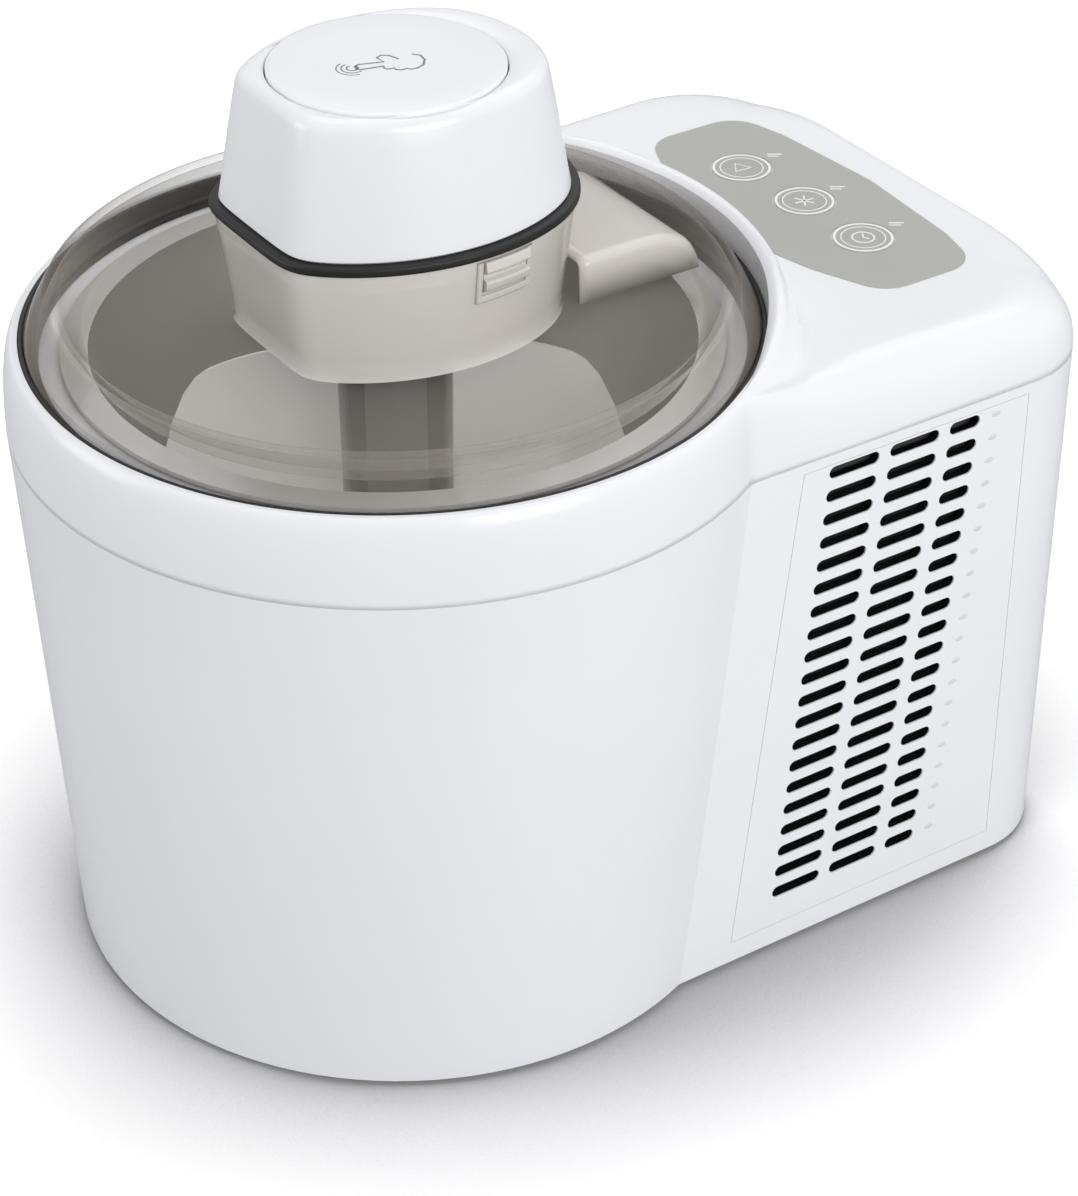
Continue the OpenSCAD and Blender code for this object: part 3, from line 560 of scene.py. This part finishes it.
# %% [markdown]
# ## Motor head
# The cap's plan is drawn by two wide side arcs, a rear arc and a front flat. Along any ray from the
# axis the nearest of them is the wall, and a high-power mean of the four rounds the corners between
# them, as the tool's fillets do. The same outline, grown or shrunk, gives the cup, the seal and the cap.

# %% Outline of the motor head
ARC_SHIFT, MID_Y, SIDE_R, REAR_R, FRONT = 20.0, 3.0, 54.0, 42.0, 35.0


def to_circle(c, s, cx, cy, radius):
    """Distance from the axis along (c, s) to a circle that holds the axis."""
    along = cx * c + cy * s
    return along + math.sqrt(along * along - cx * cx - cy * cy + radius * radius)


def head_reach(turn, grow, sharp=26):
    """Distance from the axis to the head's wall, grown outwards by some amount."""
    c, s = math.cos(turn), math.sin(turn)
    walls = [to_circle(c, s, -ARC_SHIFT, MID_Y, SIDE_R + grow),
             to_circle(c, s, ARC_SHIFT, MID_Y, SIDE_R + grow), to_circle(c, s, 0, 0, REAR_R + grow)]
    if s < -0.05:
        walls.append((FRONT + grow) / -s)
    return sum(w ** -sharp for w in walls) ** (-1 / sharp)


def head_ring(grow, z, count=192):
    """A ring of points that follows the motor head's outline."""
    ring = []
    for i in range(count):
        turn = 2 * math.pi * i / count
        r = head_reach(turn, grow)
        ring.append(at(r * math.cos(turn), r * math.sin(turn), z))
    return ring


FLARE = 6.5
BUTTON_R = span("press_button")[1].x
print("cap width at its top", round(2 * head_reach(0, 0), 1), "mm")

# %% Motor cap
cap_h = CAP_TOP_Z - CAP_Z
EDGE = 3.0
cap_rings = [head_ring(FLARE - 3, CAP_Z), head_ring(FLARE - 0.6, CAP_Z), head_ring(FLARE, CAP_Z + 0.6)]
for step in range(1, 9):
    t = step / 8
    z = CAP_Z + 0.6 + (cap_h - 0.6 - EDGE) * t
    cap_rings.append(head_ring(FLARE * (1 - (z - CAP_Z) / cap_h) ** 0.92, z))
for step in range(1, 7):
    a = math.pi / 2 * step / 6
    grow = FLARE * (EDGE / cap_h) ** 0.92 * (1 - step / 6)
    cap_rings.append(head_ring(grow - EDGE * (1 - math.cos(a)), CAP_TOP_Z - EDGE * (1 - math.sin(a))))
cap_rings += [circle(BUTTON_R + 1.1, CAP_TOP_Z), circle(BUTTON_R + 0.5, CAP_TOP_Z - 0.25),
              circle(BUTTON_R + 0.3, CAP_TOP_Z - 0.8), circle(BUTTON_R + 0.3, CAP_TOP_Z - 2.5),
              circle(BUTTON_R + 1.5, CAP_TOP_Z - 2.7), head_ring(-4, CAP_TOP_Z - 3.2),
              head_ring(-2.6, CAP_TOP_Z - 6)]
cap_rings.append(head_ring(FLARE - 3.2, CAP_Z + 1))
cap = loft("motor_cap_shell", cap_rings, "motor_unit", joined=True, replaced=["motor_cap"],
           slot="white_plastic", angle=38)
paint(cap, white_abs)
print("motor cap:", len(cap.data.polygons), "faces")

# %% Press button
button_low, button_high = span("press_button")
top = button_high.z
button_rings = [circle(0.01, button_low.z), circle(7.6, button_low.z), circle(7.6, top - 4.5),
                circle(BUTTON_R - 0.3, top - 4.5), circle(BUTTON_R, top - 4.2),
                circle(BUTTON_R, top - 0.6), circle(BUTTON_R - 0.15, top - 0.25),
                circle(BUTTON_R - 0.5, top - 0.08), circle(BUTTON_R - 1.2, top), circle(20, top - 0.12),
                circle(10, top - 0.18), circle(0.01, top - 0.2)]
button = loft("press_button_disc", button_rings, "button", replaced=["press_button"],
              slot="white_plastic")
paint(button, white_abs)
print("button radius", round(BUTTON_R, 1), "mm")

# %% Motor seal
seal_rings = []
for grow, z in fillet([(FLARE + 2.6, CAP_Z - 2.5, 0.7), (FLARE + 2.6, CAP_Z - 0.05, 0.7),
                       (FLARE - 2.0, CAP_Z - 0.05, 0.3), (FLARE - 2.0, CAP_Z - 2.5, 0.3)], 4):
    seal_rings.append(head_ring(grow, z))
seal = loft("motor_seal_ring", seal_rings, "motor_unit", joined=True, replaced=["motor_seal"],
            slot="black_rubber")
paint(seal, black_rubber)
print("motor seal ready")

# %% [markdown]
# ## Lid
# One clear moulding: a skirt that drops into the well, a sloped outer wall, a round crest, a flat
# floor below it, and the cup that holds the motor head. Every ring has the same number of points,
# so circles and the cup's outline join into one closed skin of even thickness.

# %% Lid moulding
CREST_Z, CREST_R = SEAM_Z + 11.5, LID_R - 6.7
FLOOR_Z, LID_T = SEAM_Z - 0.5, 2.0
SKIRT_Z = seal_low.z + 1.8
CUP_GROW = FLARE + 1.5
CUP_TAPER = 4.5


def cup_grow(z):
    """How far the cup's wall stands out from the head's outline at a height."""
    return CUP_GROW - CUP_TAPER * (CUP_Z - z) / (CUP_Z - FLOOR_Z)


lid_rings = []
outer = fillet([(LID_R - LID_T, SKIRT_Z, 0.5), (LID_R, SKIRT_Z, 0.5), (LID_R, SEAM_Z + 0.6, 1.0),
                (CREST_R + 0.6, CREST_Z, 2.6), (CREST_R - 3.4, CREST_Z, 2.2),
                (CREST_R - 9.2, FLOOR_Z + LID_T, 2.5), (70, FLOOR_Z + LID_T, 0)], 6)[:-1]
lid_rings += [circle(r, z) for r, z in outer]
lid_rings.append(circle(72, FLOOR_Z + LID_T))
base_z = FLOOR_Z + LID_T
for grow, z in [(cup_grow(base_z) + 2.0, base_z), (cup_grow(base_z) + 0.7, base_z + 0.5),
                (cup_grow(base_z + 2), base_z + 2.0)]:
    lid_rings.append(head_ring(grow, z))
for step in range(1, 7):
    z = base_z + 2 + (CUP_Z - base_z - 2.7) * step / 6
    lid_rings.append(head_ring(cup_grow(z), z))
lid_rings += [head_ring(CUP_GROW - 0.2, CUP_Z - 0.2), head_ring(CUP_GROW - 0.7, CUP_Z),
              head_ring(CUP_GROW - 1.4, CUP_Z), head_ring(CUP_GROW - 1.9, CUP_Z - 0.3)]
for step in range(1, 5):
    z = CUP_Z - 0.3 - (CUP_Z - base_z - 2.3) * step / 4
    lid_rings.append(head_ring(cup_grow(z) - LID_T, z))
lid_rings += [head_ring(cup_grow(base_z) - LID_T - 1.5, base_z), circle(9.6, base_z),
              circle(9.0, base_z - 0.4), circle(9.0, FLOOR_Z + 0.3), circle(9.4, FLOOR_Z),
              head_ring(cup_grow(FLOOR_Z), FLOOR_Z), circle(72, FLOOR_Z)]
inner = fillet([(70, FLOOR_Z, 0), (CREST_R - 8.2, FLOOR_Z, 2.0), (CREST_R - 2.6, CREST_Z - LID_T, 1.6),
                (CREST_R - 0.8, CREST_Z - LID_T, 1.6), (LID_R - LID_T, SEAM_Z, 0.8),
                (LID_R - LID_T, SKIRT_Z, 0)], 5)[1:]
lid_rings += [circle(r, z) for r, z in inner]
lid = loft("clear_lid", lid_rings, "lid_unit", joined=True, replaced=["lid"],
           slot="smoky_clear", angle=40)
for material in (smoke, smoke_backed, smoke_rim):
    lid.data.materials.append(material)
for polygon in lid.data.polygons:
    centre = polygon.center / MM
    r = math.hypot(centre.x, centre.y - AXIS_Y)
    if centre.z > base_z + 1 and r < 60:
        polygon.material_index = 1
    elif r > CREST_R - 1:
        polygon.material_index = 2
print("lid:", len(lid.data.polygons), "faces")

# %% [markdown]
# ## Bridge of the lid
# A flat channel runs from the cup back to the rear of the lid. It covers the contacts that feed the
# motor. It is a thin shell with soft top edges over a white carrier, so it looks pale.

# %% Bridge
BRIDGE_HALF, BRIDGE_Z = 25.0, CREST_Z + 3
BRIDGE_FRONT, BRIDGE_REAR = 44.0, 88.5


def bridge_section(t):
    """Cross-section of the bridge at step t from the cup (0) to its rear end (1)."""
    y = BRIDGE_FRONT + (BRIDGE_REAR - BRIDGE_FRONT) * t
    fall = (1 - math.sqrt(max(1 - max((t - 0.55) / 0.45, 0) ** 2.2, 0))) * (BRIDGE_Z - FLOOR_Z - LID_T)
    floor_z = FLOOR_Z + LID_T
    top_z = max(BRIDGE_Z - fall, floor_z + 0.4)
    edge = min(3.0, 0.45 * (top_z - floor_z) + 0.01)
    outline = fillet([(-BRIDGE_HALF, floor_z, 0), (-BRIDGE_HALF, top_z, edge),
                      (BRIDGE_HALF, top_z, edge), (BRIDGE_HALF, floor_z, 0)], 5)
    return [at(x, y - 5 * t * t * (x / BRIDGE_HALF) ** 2, z) for x, z in outline]


rings = [bridge_section(1 - (1 - i / 20) ** 1.6) for i in range(21)]
across = len(rings[0])
bridge = mesh_piece("lid_bridge", [p for ring in rings for p in ring],
                    loft_faces(len(rings), across, closed=False), "lid_unit", slot="smoky_clear")
thick = bridge.modifiers.new("wall", "SOLIDIFY")
thick.thickness = 1.6 * MM
thick.offset = -1
paint(bridge, smoke_backed)
print("bridge:", len(bridge.data.polygons), "faces")

# %% Lid seal
seal_profile = [(WELL_R - 1.3, LEDGE_Z + 1.5, 0.2), (WELL_R - 1.3, SEAM_Z + 0.1, 0.4),
                (WELL_R - 0.1, SEAM_Z + 0.1, 0.4), (WELL_R - 0.1, LEDGE_Z, 0.2),
                (WELL_R - 5.2, LEDGE_Z, 0.2), (WELL_R - 5.2, LEDGE_Z + 1.5, 0.2)]
seal_ring = turned("lid_seal_ring", seal_profile, "base_unit", replaced=["lid_seal"],
                   slot="black_rubber")
paint(seal_ring, black_rubber)
print("lid seal ready")

# %% [markdown]
# ## Paddle
# One acetal moulding. A thin sleeve stands round the stem below the lid, and two broad wings lean the
# same way, so that they lift the mix off the bowl. Each wing is a slightly dished plate with a round
# edge. The sleeve is smoky clear in this machine, so the stem shows through it.

# %% Paddle wings and stem
paddle_low, paddle_high = span("paddle")
PADDLE_TURN = math.radians(62)
LEAN = math.radians(20)
WING_H = (paddle_high.z - paddle_low.z) * 0.78
REACH = 66.0


def paddle_point(x, y, z):
    """A point of the paddle, turned to its rest position."""
    c, s = math.cos(PADDLE_TURN), math.sin(PADDLE_TURN)
    return at(c * x - s * y, s * x + c * y, z)


def wing(side):
    """One wing as a loft of thin rounded sections from the stem outwards."""
    rings = []
    for i in range(17):
        t = i / 16
        x = 7 + (REACH - 7) * t
        round_off = 9 * max((t - 0.7) / 0.3, 0) ** 3
        height = WING_H * (0.86 + 0.14 * math.sin(math.pi * t ** 0.7)) - 2 * round_off
        section = []
        for k in range(25):
            h = k / 24 * (height - round_off) + round_off / 2
            dish = 2.5 * math.sin(math.pi * k / 24) * t
            section.append((h, dish - 1.4))
        for k in range(24, -1, -1):
            h = k / 24 * (height - round_off) + round_off / 2
            dish = 2.5 * math.sin(math.pi * k / 24) * t
            section.append((h, dish + 1.4))
        ring = []
        for h, off in section:
            y = h * math.sin(LEAN) + off * math.cos(LEAN)
            z = paddle_low.z + 4 + h * math.cos(LEAN) - off * math.sin(LEAN)
            ring.append(paddle_point(side * x, y, z))
        rings.append(ring)
    return rings


BAR_SECTION = ((-2, 0.3), (-1.7, 0), (1.7, 0), (2, 0.3), (2, 7.6), (1.6, 8), (-1.6, 8), (-2, 7.6))
points, faces = [], []
for side in (-1, 1):
    rings = wing(side)
    start = len(points)
    points += [p for ring in rings for p in ring]
    faces += [tuple(start + i for i in face) for face in loft_faces(len(rings), len(rings[0]))]
    faces.append(tuple(start + (len(rings) - 1) * len(rings[0]) + i for i in range(len(rings[0]))))
    bar = [[paddle_point(side * x, y, paddle_low.z + z) for y, z in BAR_SECTION]
           for x in (4, REACH - 0.6, REACH)]
    start = len(points)
    points += [p for ring in bar for p in ring]
    faces += [tuple(start + i for i in face) for face in loft_faces(len(bar), len(BAR_SECTION))]
    faces.append(tuple(start + 2 * len(BAR_SECTION) + i for i in range(len(BAR_SECTION))))
STEM_SECTION = ((0.01, paddle_low.z), (7.5, paddle_low.z), (8.5, paddle_low.z + 1),
                (8.5, paddle_high.z - 1), (8.0, paddle_high.z - 0.3), (5.9, paddle_high.z - 0.3),
                (5.9, paddle_high.z - 16), (0.01, paddle_high.z - 16))
stem = [circle(r, z, 64) for r, z in STEM_SECTION]
start = len(points)
points += [p for ring in stem for p in ring]
faces += [tuple(start + i for i in face) for face in loft_faces(len(stem), 64)]
paddle = mesh_piece("paddle_moulding", points, faces, "mixer", replaced=["paddle"],
                    slot="paddle_plastic", angle=40)
paint(paddle, acetal)
SLEEVE_LENGTH = 58
sleeve_low = paddle_high.z - SLEEVE_LENGTH
sleeve_profile = [(8.4, sleeve_low, 0), (15.4, sleeve_low, 1.2), (16, paddle_high.z, 0.5),
                  (14.2, paddle_high.z, 0.5), (13.8, sleeve_low + 2, 0.8), (8.4, sleeve_low + 2, 0)]
sleeve = turned("paddle_sleeve", sleeve_profile, "mixer", count=96, slot="paddle_plastic")
paint(sleeve, smoke_dark)
print("paddle:", len(paddle.data.polygons), "faces")

# %% [markdown]
# ## Latch
# A small tab in a framed window of the cup. Two ridges give the thumb a grip, and pressing it frees
# the motor head. It is placed on the right side arc, six degrees round from straight right.

# %% Latch
LATCH_TURN = math.radians(6)
LATCH_HALF, LATCH_R = 7.0, SIDE_R + FLARE + 1.5


def latch_point(out, along, z):
    """A point at the latch: out from the side arc, along the cup wall, and height."""
    turn = LATCH_TURN + along / LATCH_R
    r = LATCH_R + out - CUP_TAPER * (CUP_Z - z) / (CUP_Z - FLOOR_Z)
    return at(-ARC_SHIFT + r * math.cos(turn), MID_Y + r * math.sin(turn), z)


def strip(profile, half, steps=12):
    """A moulding that follows the cup wall, from a closed profile of (out, z)."""
    return [[latch_point(out, -half + 2 * half * i / steps, z) for out, z in profile]
            for i in range(steps + 1)]


def capped(name, rings, body, **facts):
    """A loft with both ends closed."""
    count = len(rings[0])
    faces = loft_faces(len(rings), count)
    faces += [tuple(range(count)), tuple((len(rings) - 1) * count + i for i in range(count))]
    return mesh_piece(name, [p for ring in rings for p in ring], faces, body, **facts)


tab_top = CUP_Z - 0.8
tab_profile = fillet([(-2.0, tab_top, 0), (1.5, tab_top, 0.7), (2.4, tab_top - 3.1, 0.8),
                      (0.5, tab_top - 3.7, 0.3), (0.5, tab_top - 5.2, 0.3),
                      (2.4, tab_top - 5.7, 0.8), (2.2, tab_top - 8.4, 0.8),
                      (0.4, tab_top - 9.2, 0.3), (0.2, tab_top - 10.4, 0.2),
                      (-2.0, tab_top - 10.4, 0)], 4)
latch = capped("thumb_latch", strip(tab_profile, LATCH_HALF), "latch", replaced=["motor_latch"],
               slot="smoky_clear")
paint(latch, smoke_backed)
gap_profile = [(-1.0, tab_top - 8.9), (0.18, tab_top - 8.9), (0.18, tab_top - 9.6),
               (-1.0, tab_top - 9.6)]
gap = capped("latch_gap_line", strip(gap_profile, LATCH_HALF), "latch", slot="smoky_clear")
paint(gap, black_nylon)
frame_profile = fillet([(-1.0, tab_top - 10.4, 0), (0.9, tab_top - 10.5, 0.4),
                        (0.9, tab_top - 12.6, 0.6), (-1.0, tab_top - 12.9, 0)], 3)
sill = capped("latch_sill", strip(frame_profile, LATCH_HALF + 1.8), "lid_unit", slot="smoky_clear")
paint(sill, smoke_backed)
POST_SECTION = ((-1.0, 0.35), (0.8, 0.35), (0.9, 0.7), (0.9, 1.6), (0.6, 1.9), (-1.0, 1.9))
for side in (-1, 1):
    rings = []
    for z in (tab_top - 12.2, tab_top - 8, tab_top - 4, tab_top):
        rings.append([latch_point(out, side * (LATCH_HALF + along), z) for out, along in POST_SECTION])
    post = capped("latch_post_" + ("left" if side < 0 else "right"), rings, "lid_unit",
                  slot="smoky_clear")
    paint(post, smoke_backed)
print("latch ready")

# %% [markdown]
# ## Printed marks
# Marks are thin raised ink: a ribbon follows a line at a fixed width. The keys carry a double ring and
# a plain sign each: a triangle for start, a six-armed star for cold, a clock for the timer. The button
# carries a plain hand with touch rings. None of the signs belongs to a maker.

# %% Mark helper
INK = 0.06


def ribbon(points, width, closed=False):
    """Left and right edges of a flat line of some width through (x, y) points."""
    edges = []
    count = len(points)
    for i, p in enumerate(points):
        before = points[(i - 1) % count] if closed or i > 0 else p
        after = points[(i + 1) % count] if closed or i < count - 1 else p
        way = Vector((after[0] - before[0], after[1] - before[1])).normalized()
        side = Vector((-way.y, way.x)) * width / 2
        edges.append(((p[0] + side.x, p[1] + side.y), (p[0] - side.x, p[1] - side.y)))
    return edges


def print_lines(name, lines, place, body, material, slot):
    """One piece of raised ink from lines of ((x, y) points, width, closed)."""
    points, faces = [], []
    for line, width, closed in lines:
        edges = ribbon(line, width, closed)
        start = len(points)
        for left, right in edges:
            points += [place(left, 0), place(left, INK), place(right, INK), place(right, 0)]
        count = len(edges)
        for i in range(count if closed else count - 1):
            a, b = start + 4 * i, start + 4 * ((i + 1) % count)
            for k in range(4):
                m = (k + 1) % 4
                faces.append((a + k, a + m, b + m, b + k))
        if not closed:
            faces.append(tuple(start + k for k in range(4)))
            faces.append(tuple(start + 4 * (count - 1) + k for k in range(4)))
    piece = mesh_piece(name, points, faces, body, slot=slot, angle=30)
    return paint(piece, material)


def arc(radius, first=0, last=360, centre=(0, 0), steps=48):
    """Points of an arc in degrees."""
    count = steps + (0 if last - first >= 360 else 1)
    turns = [math.radians(first + (last - first) * i / steps) for i in range(count)]
    return [(centre[0] + radius * math.cos(a), centre[1] + radius * math.sin(a)) for a in turns]


VIEW_TURN = math.radians(56.6)


def turned_place(x0, y0, z0):
    """Places (u, v) so that u runs to the right and v away, seen from the front right corner."""
    c, s = math.cos(VIEW_TURN), math.sin(VIEW_TURN)
    return lambda p, up: (x0 + (p[0] * c - p[1] * s) * MM, y0 + (p[0] * s + p[1] * c) * MM,
                          z0 + up * MM)


SIGNS = {
    "start_key": [([(-1.8, -2.6), (2.8, 0), (-1.8, 2.6)], 0.55, True)],
    "mode_key": [([(side * 3.2 * math.cos(a), side * 3.2 * math.sin(a)) for side in (1, -1)], 0.5, False)
                 for a in (math.pi / 2, math.pi / 6, -math.pi / 6)],
    "timer_key": [(arc(3.2), 0.5, True), ([(0, 2.2), (0, 0), (1.7, -0.9)], 0.5, False)],
}
KEY_BODIES = {"start_key": "key_start", "mode_key": "key_mode", "timer_key": "key_timer"}
for node, sign in SIGNS.items():
    low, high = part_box(node)
    centre = ((low[0] + high[0]) / 2, (low[1] + high[1]) / 2)
    place = turned_place(centre[0], centre[1], high[2])
    body = KEY_BODIES[node]
    rings = [(arc(8.3), 0.75, True), (arc(6.4), 0.35, True)]
    print_lines(node + "_print", rings + sign, place, body, white_ink, "key_film")
    label = [([(-2.2, 0.9), (2.2, 0.9)], 0.6, False), ([(-2.2, -0.5), (1.2, -0.5)], 0.5, False)]
    film_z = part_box("control_overlay")[1][2]
    label_place = turned_place(centre[0] - 1.1 * MM, centre[1] + 13.0 * MM, film_z)
    print_lines(node + "_label", label, label_place, "base_unit", white_ink, "overlay_film")
print("key prints:", len(SIGNS))

# %% Print on the button
button_place = turned_place(0, AXIS_Y * MM, (top - 0.2) * MM)
hand = [
    (arc(1.5, 120, 420, (-8.6, -3.4), 24), 0.45, False), (arc(2.9, 130, 330, (-8.6, -3.4), 24), 0.4, False),
    (arc(4.2, 140, 300, (-8.6, -3.4), 24), 0.35, False),
    ([(-8.0, -2.4), (-7.2, -1.2), (-0.6, 0.6), (-2.6, 3.0), (-1.6, 4.6), (0.6, 4.4), (3.0, 2.4)], 0.6, False),
    ([(-8.0, -2.4), (-7.4, -4.0), (-6.2, -4.2), (-0.4, -2.0), (-0.6, -3.2), (0.6, -4.0),
      (2.2, -3.2), (2.6, -4.2), (4.2, -4.4), (5.4, -3.4), (6.4, -4.0), (8.0, -3.4), (9.6, -1.2),
      (9.8, 2.0), (8.6, 4.6), (6.4, 5.4)], 0.6, False),
]
print_lines("button_print", hand, button_place, "button", grey_ink, "white_plastic")
print("button print ready")

# %% [markdown]
# ## Dust screens that stand in for shade, and blind marks
# A black dust screen lies close behind each side vent and keeps dust out. It is also a dark sheet that
# stands in for the shade inside the casing, so the slots look black. Behind the rear edge of each panel
# runs a column of blind marks in the same rhythm as the slots.

# %% Screens
SCREEN_X = BOX_HALF - WALL - 0.5
SCREEN_WEAVE = 0.1
SLOT_FIRST_Z, SLOT_PITCH, SLOT_LEAN = 20.9, 7.28, 0.0875
SLOT_FIRST_Y, COLUMN_PITCH, MARK_GAP = 67.5, 20.7, 16.5
panel_low, panel_high = span("right_vent_panel")
for side, label in ((1, "right"), (-1, "left")):
    points, faces = [], []
    y0, y1, z0, z1 = panel_low.y + 9, panel_high.y - 2, panel_low.z + 3, panel_high.z - 3
    rows, columns = 30, 24
    for i in range(rows + 1):
        for k in range(columns + 1):
            weave = SCREEN_WEAVE if k % 2 == 0 else -SCREEN_WEAVE
            points.append((side * (SCREEN_X - 0.5 + weave) * MM, (y0 + (y1 - y0) * k / columns) * MM,
                           (z0 + (z1 - z0) * i / rows) * MM))
    faces = loft_faces(rows + 1, columns + 1, closed=False)
    # A black dust screen that also stands in for the shade inside the casing, so the slots look black.
    screen = mesh_piece(label + "_dust_and_shade_screen", points, faces, "base_unit", slot="black_plastic")
    thick = screen.modifiers.new("thread", "SOLIDIFY")
    thick.thickness = 0.3 * MM
    paint(screen, black_nylon)
    marks, mark_faces = [], []
    for row in range(20):
        z = SLOT_FIRST_Z + SLOT_PITCH * row
        y = SLOT_FIRST_Y + SLOT_LEAN * (z - SLOT_FIRST_Z) + 2 * COLUMN_PITCH + MARK_GAP
        start = len(marks)
        for depth, scale in ((0.0, 1.0), (0.12, 0.75)):
            for a in range(16):
                turn = 2 * math.pi * a / 16
                marks.append(at(side * (BOX_HALF + depth), y + 1.6 * scale * math.cos(turn),
                                z + 0.9 * scale * math.sin(turn)))
        mark_faces += [tuple(start + i for i in face) for face in loft_faces(2, 16)]
        mark_faces.append(tuple(start + 16 + i for i in range(16)))
    blind = mesh_piece(label + "_blind_marks", marks, mark_faces, "base_unit", slot="white_plastic")
    paint(blind, base_abs)
print("screens and marks ready")

# %% [markdown]
# ## Camera, floor and light
# The camera looks down on the right front corner from the height of a standing person. The floor is a
# pale plane. It shows white to camera rays only, and keeps the object's shadow from the lamps. Near the
# object, ambient occlusion dims that white: a painted contact shadow. Large soft lamps on the left
# and above give white plastic its wide, quiet gradients, at a level that doesn't clip.

# %% Camera
AZIMUTH, ELEVATION, DISTANCE = math.radians(56.6), math.radians(33.86), 0.9153
aim = Vector((0.0216, -0.0047, 0.0976))
eye = aim + DISTANCE * Vector((math.sin(AZIMUTH) * math.cos(ELEVATION),
                               -math.cos(AZIMUTH) * math.cos(ELEVATION), math.sin(ELEVATION)))
camera_data = bpy.data.cameras.new("camera")
camera_data.lens = 96.3
camera_data.sensor_width = 36
camera = bpy.data.objects.new("camera", camera_data)
camera.location = eye
camera.rotation_euler = (aim - eye).to_track_quat("-Z", "Y").to_euler()
bpy.context.scene.collection.objects.link(camera)
bpy.context.scene.camera = camera
print("camera at", [round(v, 3) for v in eye])

# %% Floor
floor_mesh = bpy.data.meshes.new("floor")
floor_mesh.from_pydata([(-4, -4, 0), (4, -4, 0), (4, 4, 0), (-4, 4, 0)], [], [(0, 1, 2, 3)])
floor = bpy.data.objects.new("floor", floor_mesh)
bpy.context.scene.collection.objects.link(floor)
floor_with_painted_shadow = bpy.data.materials.new("pale floor with painted contact shadow")
floor_with_painted_shadow.use_nodes = True
tree = floor_with_painted_shadow.node_tree
tree.nodes.clear()
# Painted contact shadow: ambient occlusion dims the floor's camera glow near the object.
near = add(floor_with_painted_shadow, "ShaderNodeAmbientOcclusion", {"samples": 8, "Distance": 0.16})
painted_shadow_ramp = add(floor_with_painted_shadow, "ShaderNodeMapRange",
           {"From Min": 0.5, "From Max": 0.84, "To Min": 0.0, "To Max": 0.74}, {"Value": (near, "AO")})
path = add(floor_with_painted_shadow, "ShaderNodeLightPath")
seen = add(floor_with_painted_shadow, "ShaderNodeMath", {"operation": "MULTIPLY"},
           {0: (path, "Is Camera Ray"), 1: (painted_shadow_ramp, "Result")})
diffuse = add(floor_with_painted_shadow, "ShaderNodeBsdfDiffuse", {"Color": (0.5, 0.5, 0.51, 1)})
glow = add(floor_with_painted_shadow, "ShaderNodeEmission", {"Color": (1, 1, 1, 1)}, {"Strength": (seen, "Value")})
total = add(floor_with_painted_shadow, "ShaderNodeAddShader")
tree.links.new(diffuse.outputs[0], total.inputs[0])
tree.links.new(glow.outputs[0], total.inputs[1])
output = add(floor_with_painted_shadow, "ShaderNodeOutputMaterial")
tree.links.new(total.outputs[0], output.inputs["Surface"])
floor.data.materials.append(floor_with_painted_shadow)

# %% Light
world = bpy.data.worlds.new("studio")
bpy.context.scene.world = world
world.use_nodes = True
world.node_tree.nodes["Background"].inputs["Color"].default_value = (1, 1, 1, 1)
world.node_tree.nodes["Background"].inputs["Strength"].default_value = 0.6


def softbox(name, place, size, power):
    """A large square lamp that faces the object."""
    data = bpy.data.lights.new(name, "AREA")
    data.shape = "RECTANGLE"
    data.size, data.size_y = size
    data.energy = power
    lamp = bpy.data.objects.new(name, data)
    lamp.location = place
    lamp.rotation_euler = (Vector((0, 0, 0.12)) - Vector(place)).to_track_quat("-Z", "Y").to_euler()
    bpy.context.scene.collection.objects.link(lamp)


softbox("overhead", (-0.5, 0.6, 1.5), (1.4, 1.4), 7)
softbox("front left", (-0.9, -1.6, 0.6), (1.0, 1.2), 9)
softbox("right", (1.8, 0.1, 0.8), (1.0, 1.2), 16)
bpy.context.scene.view_settings.view_transform = "Standard"
print("lamps ready")
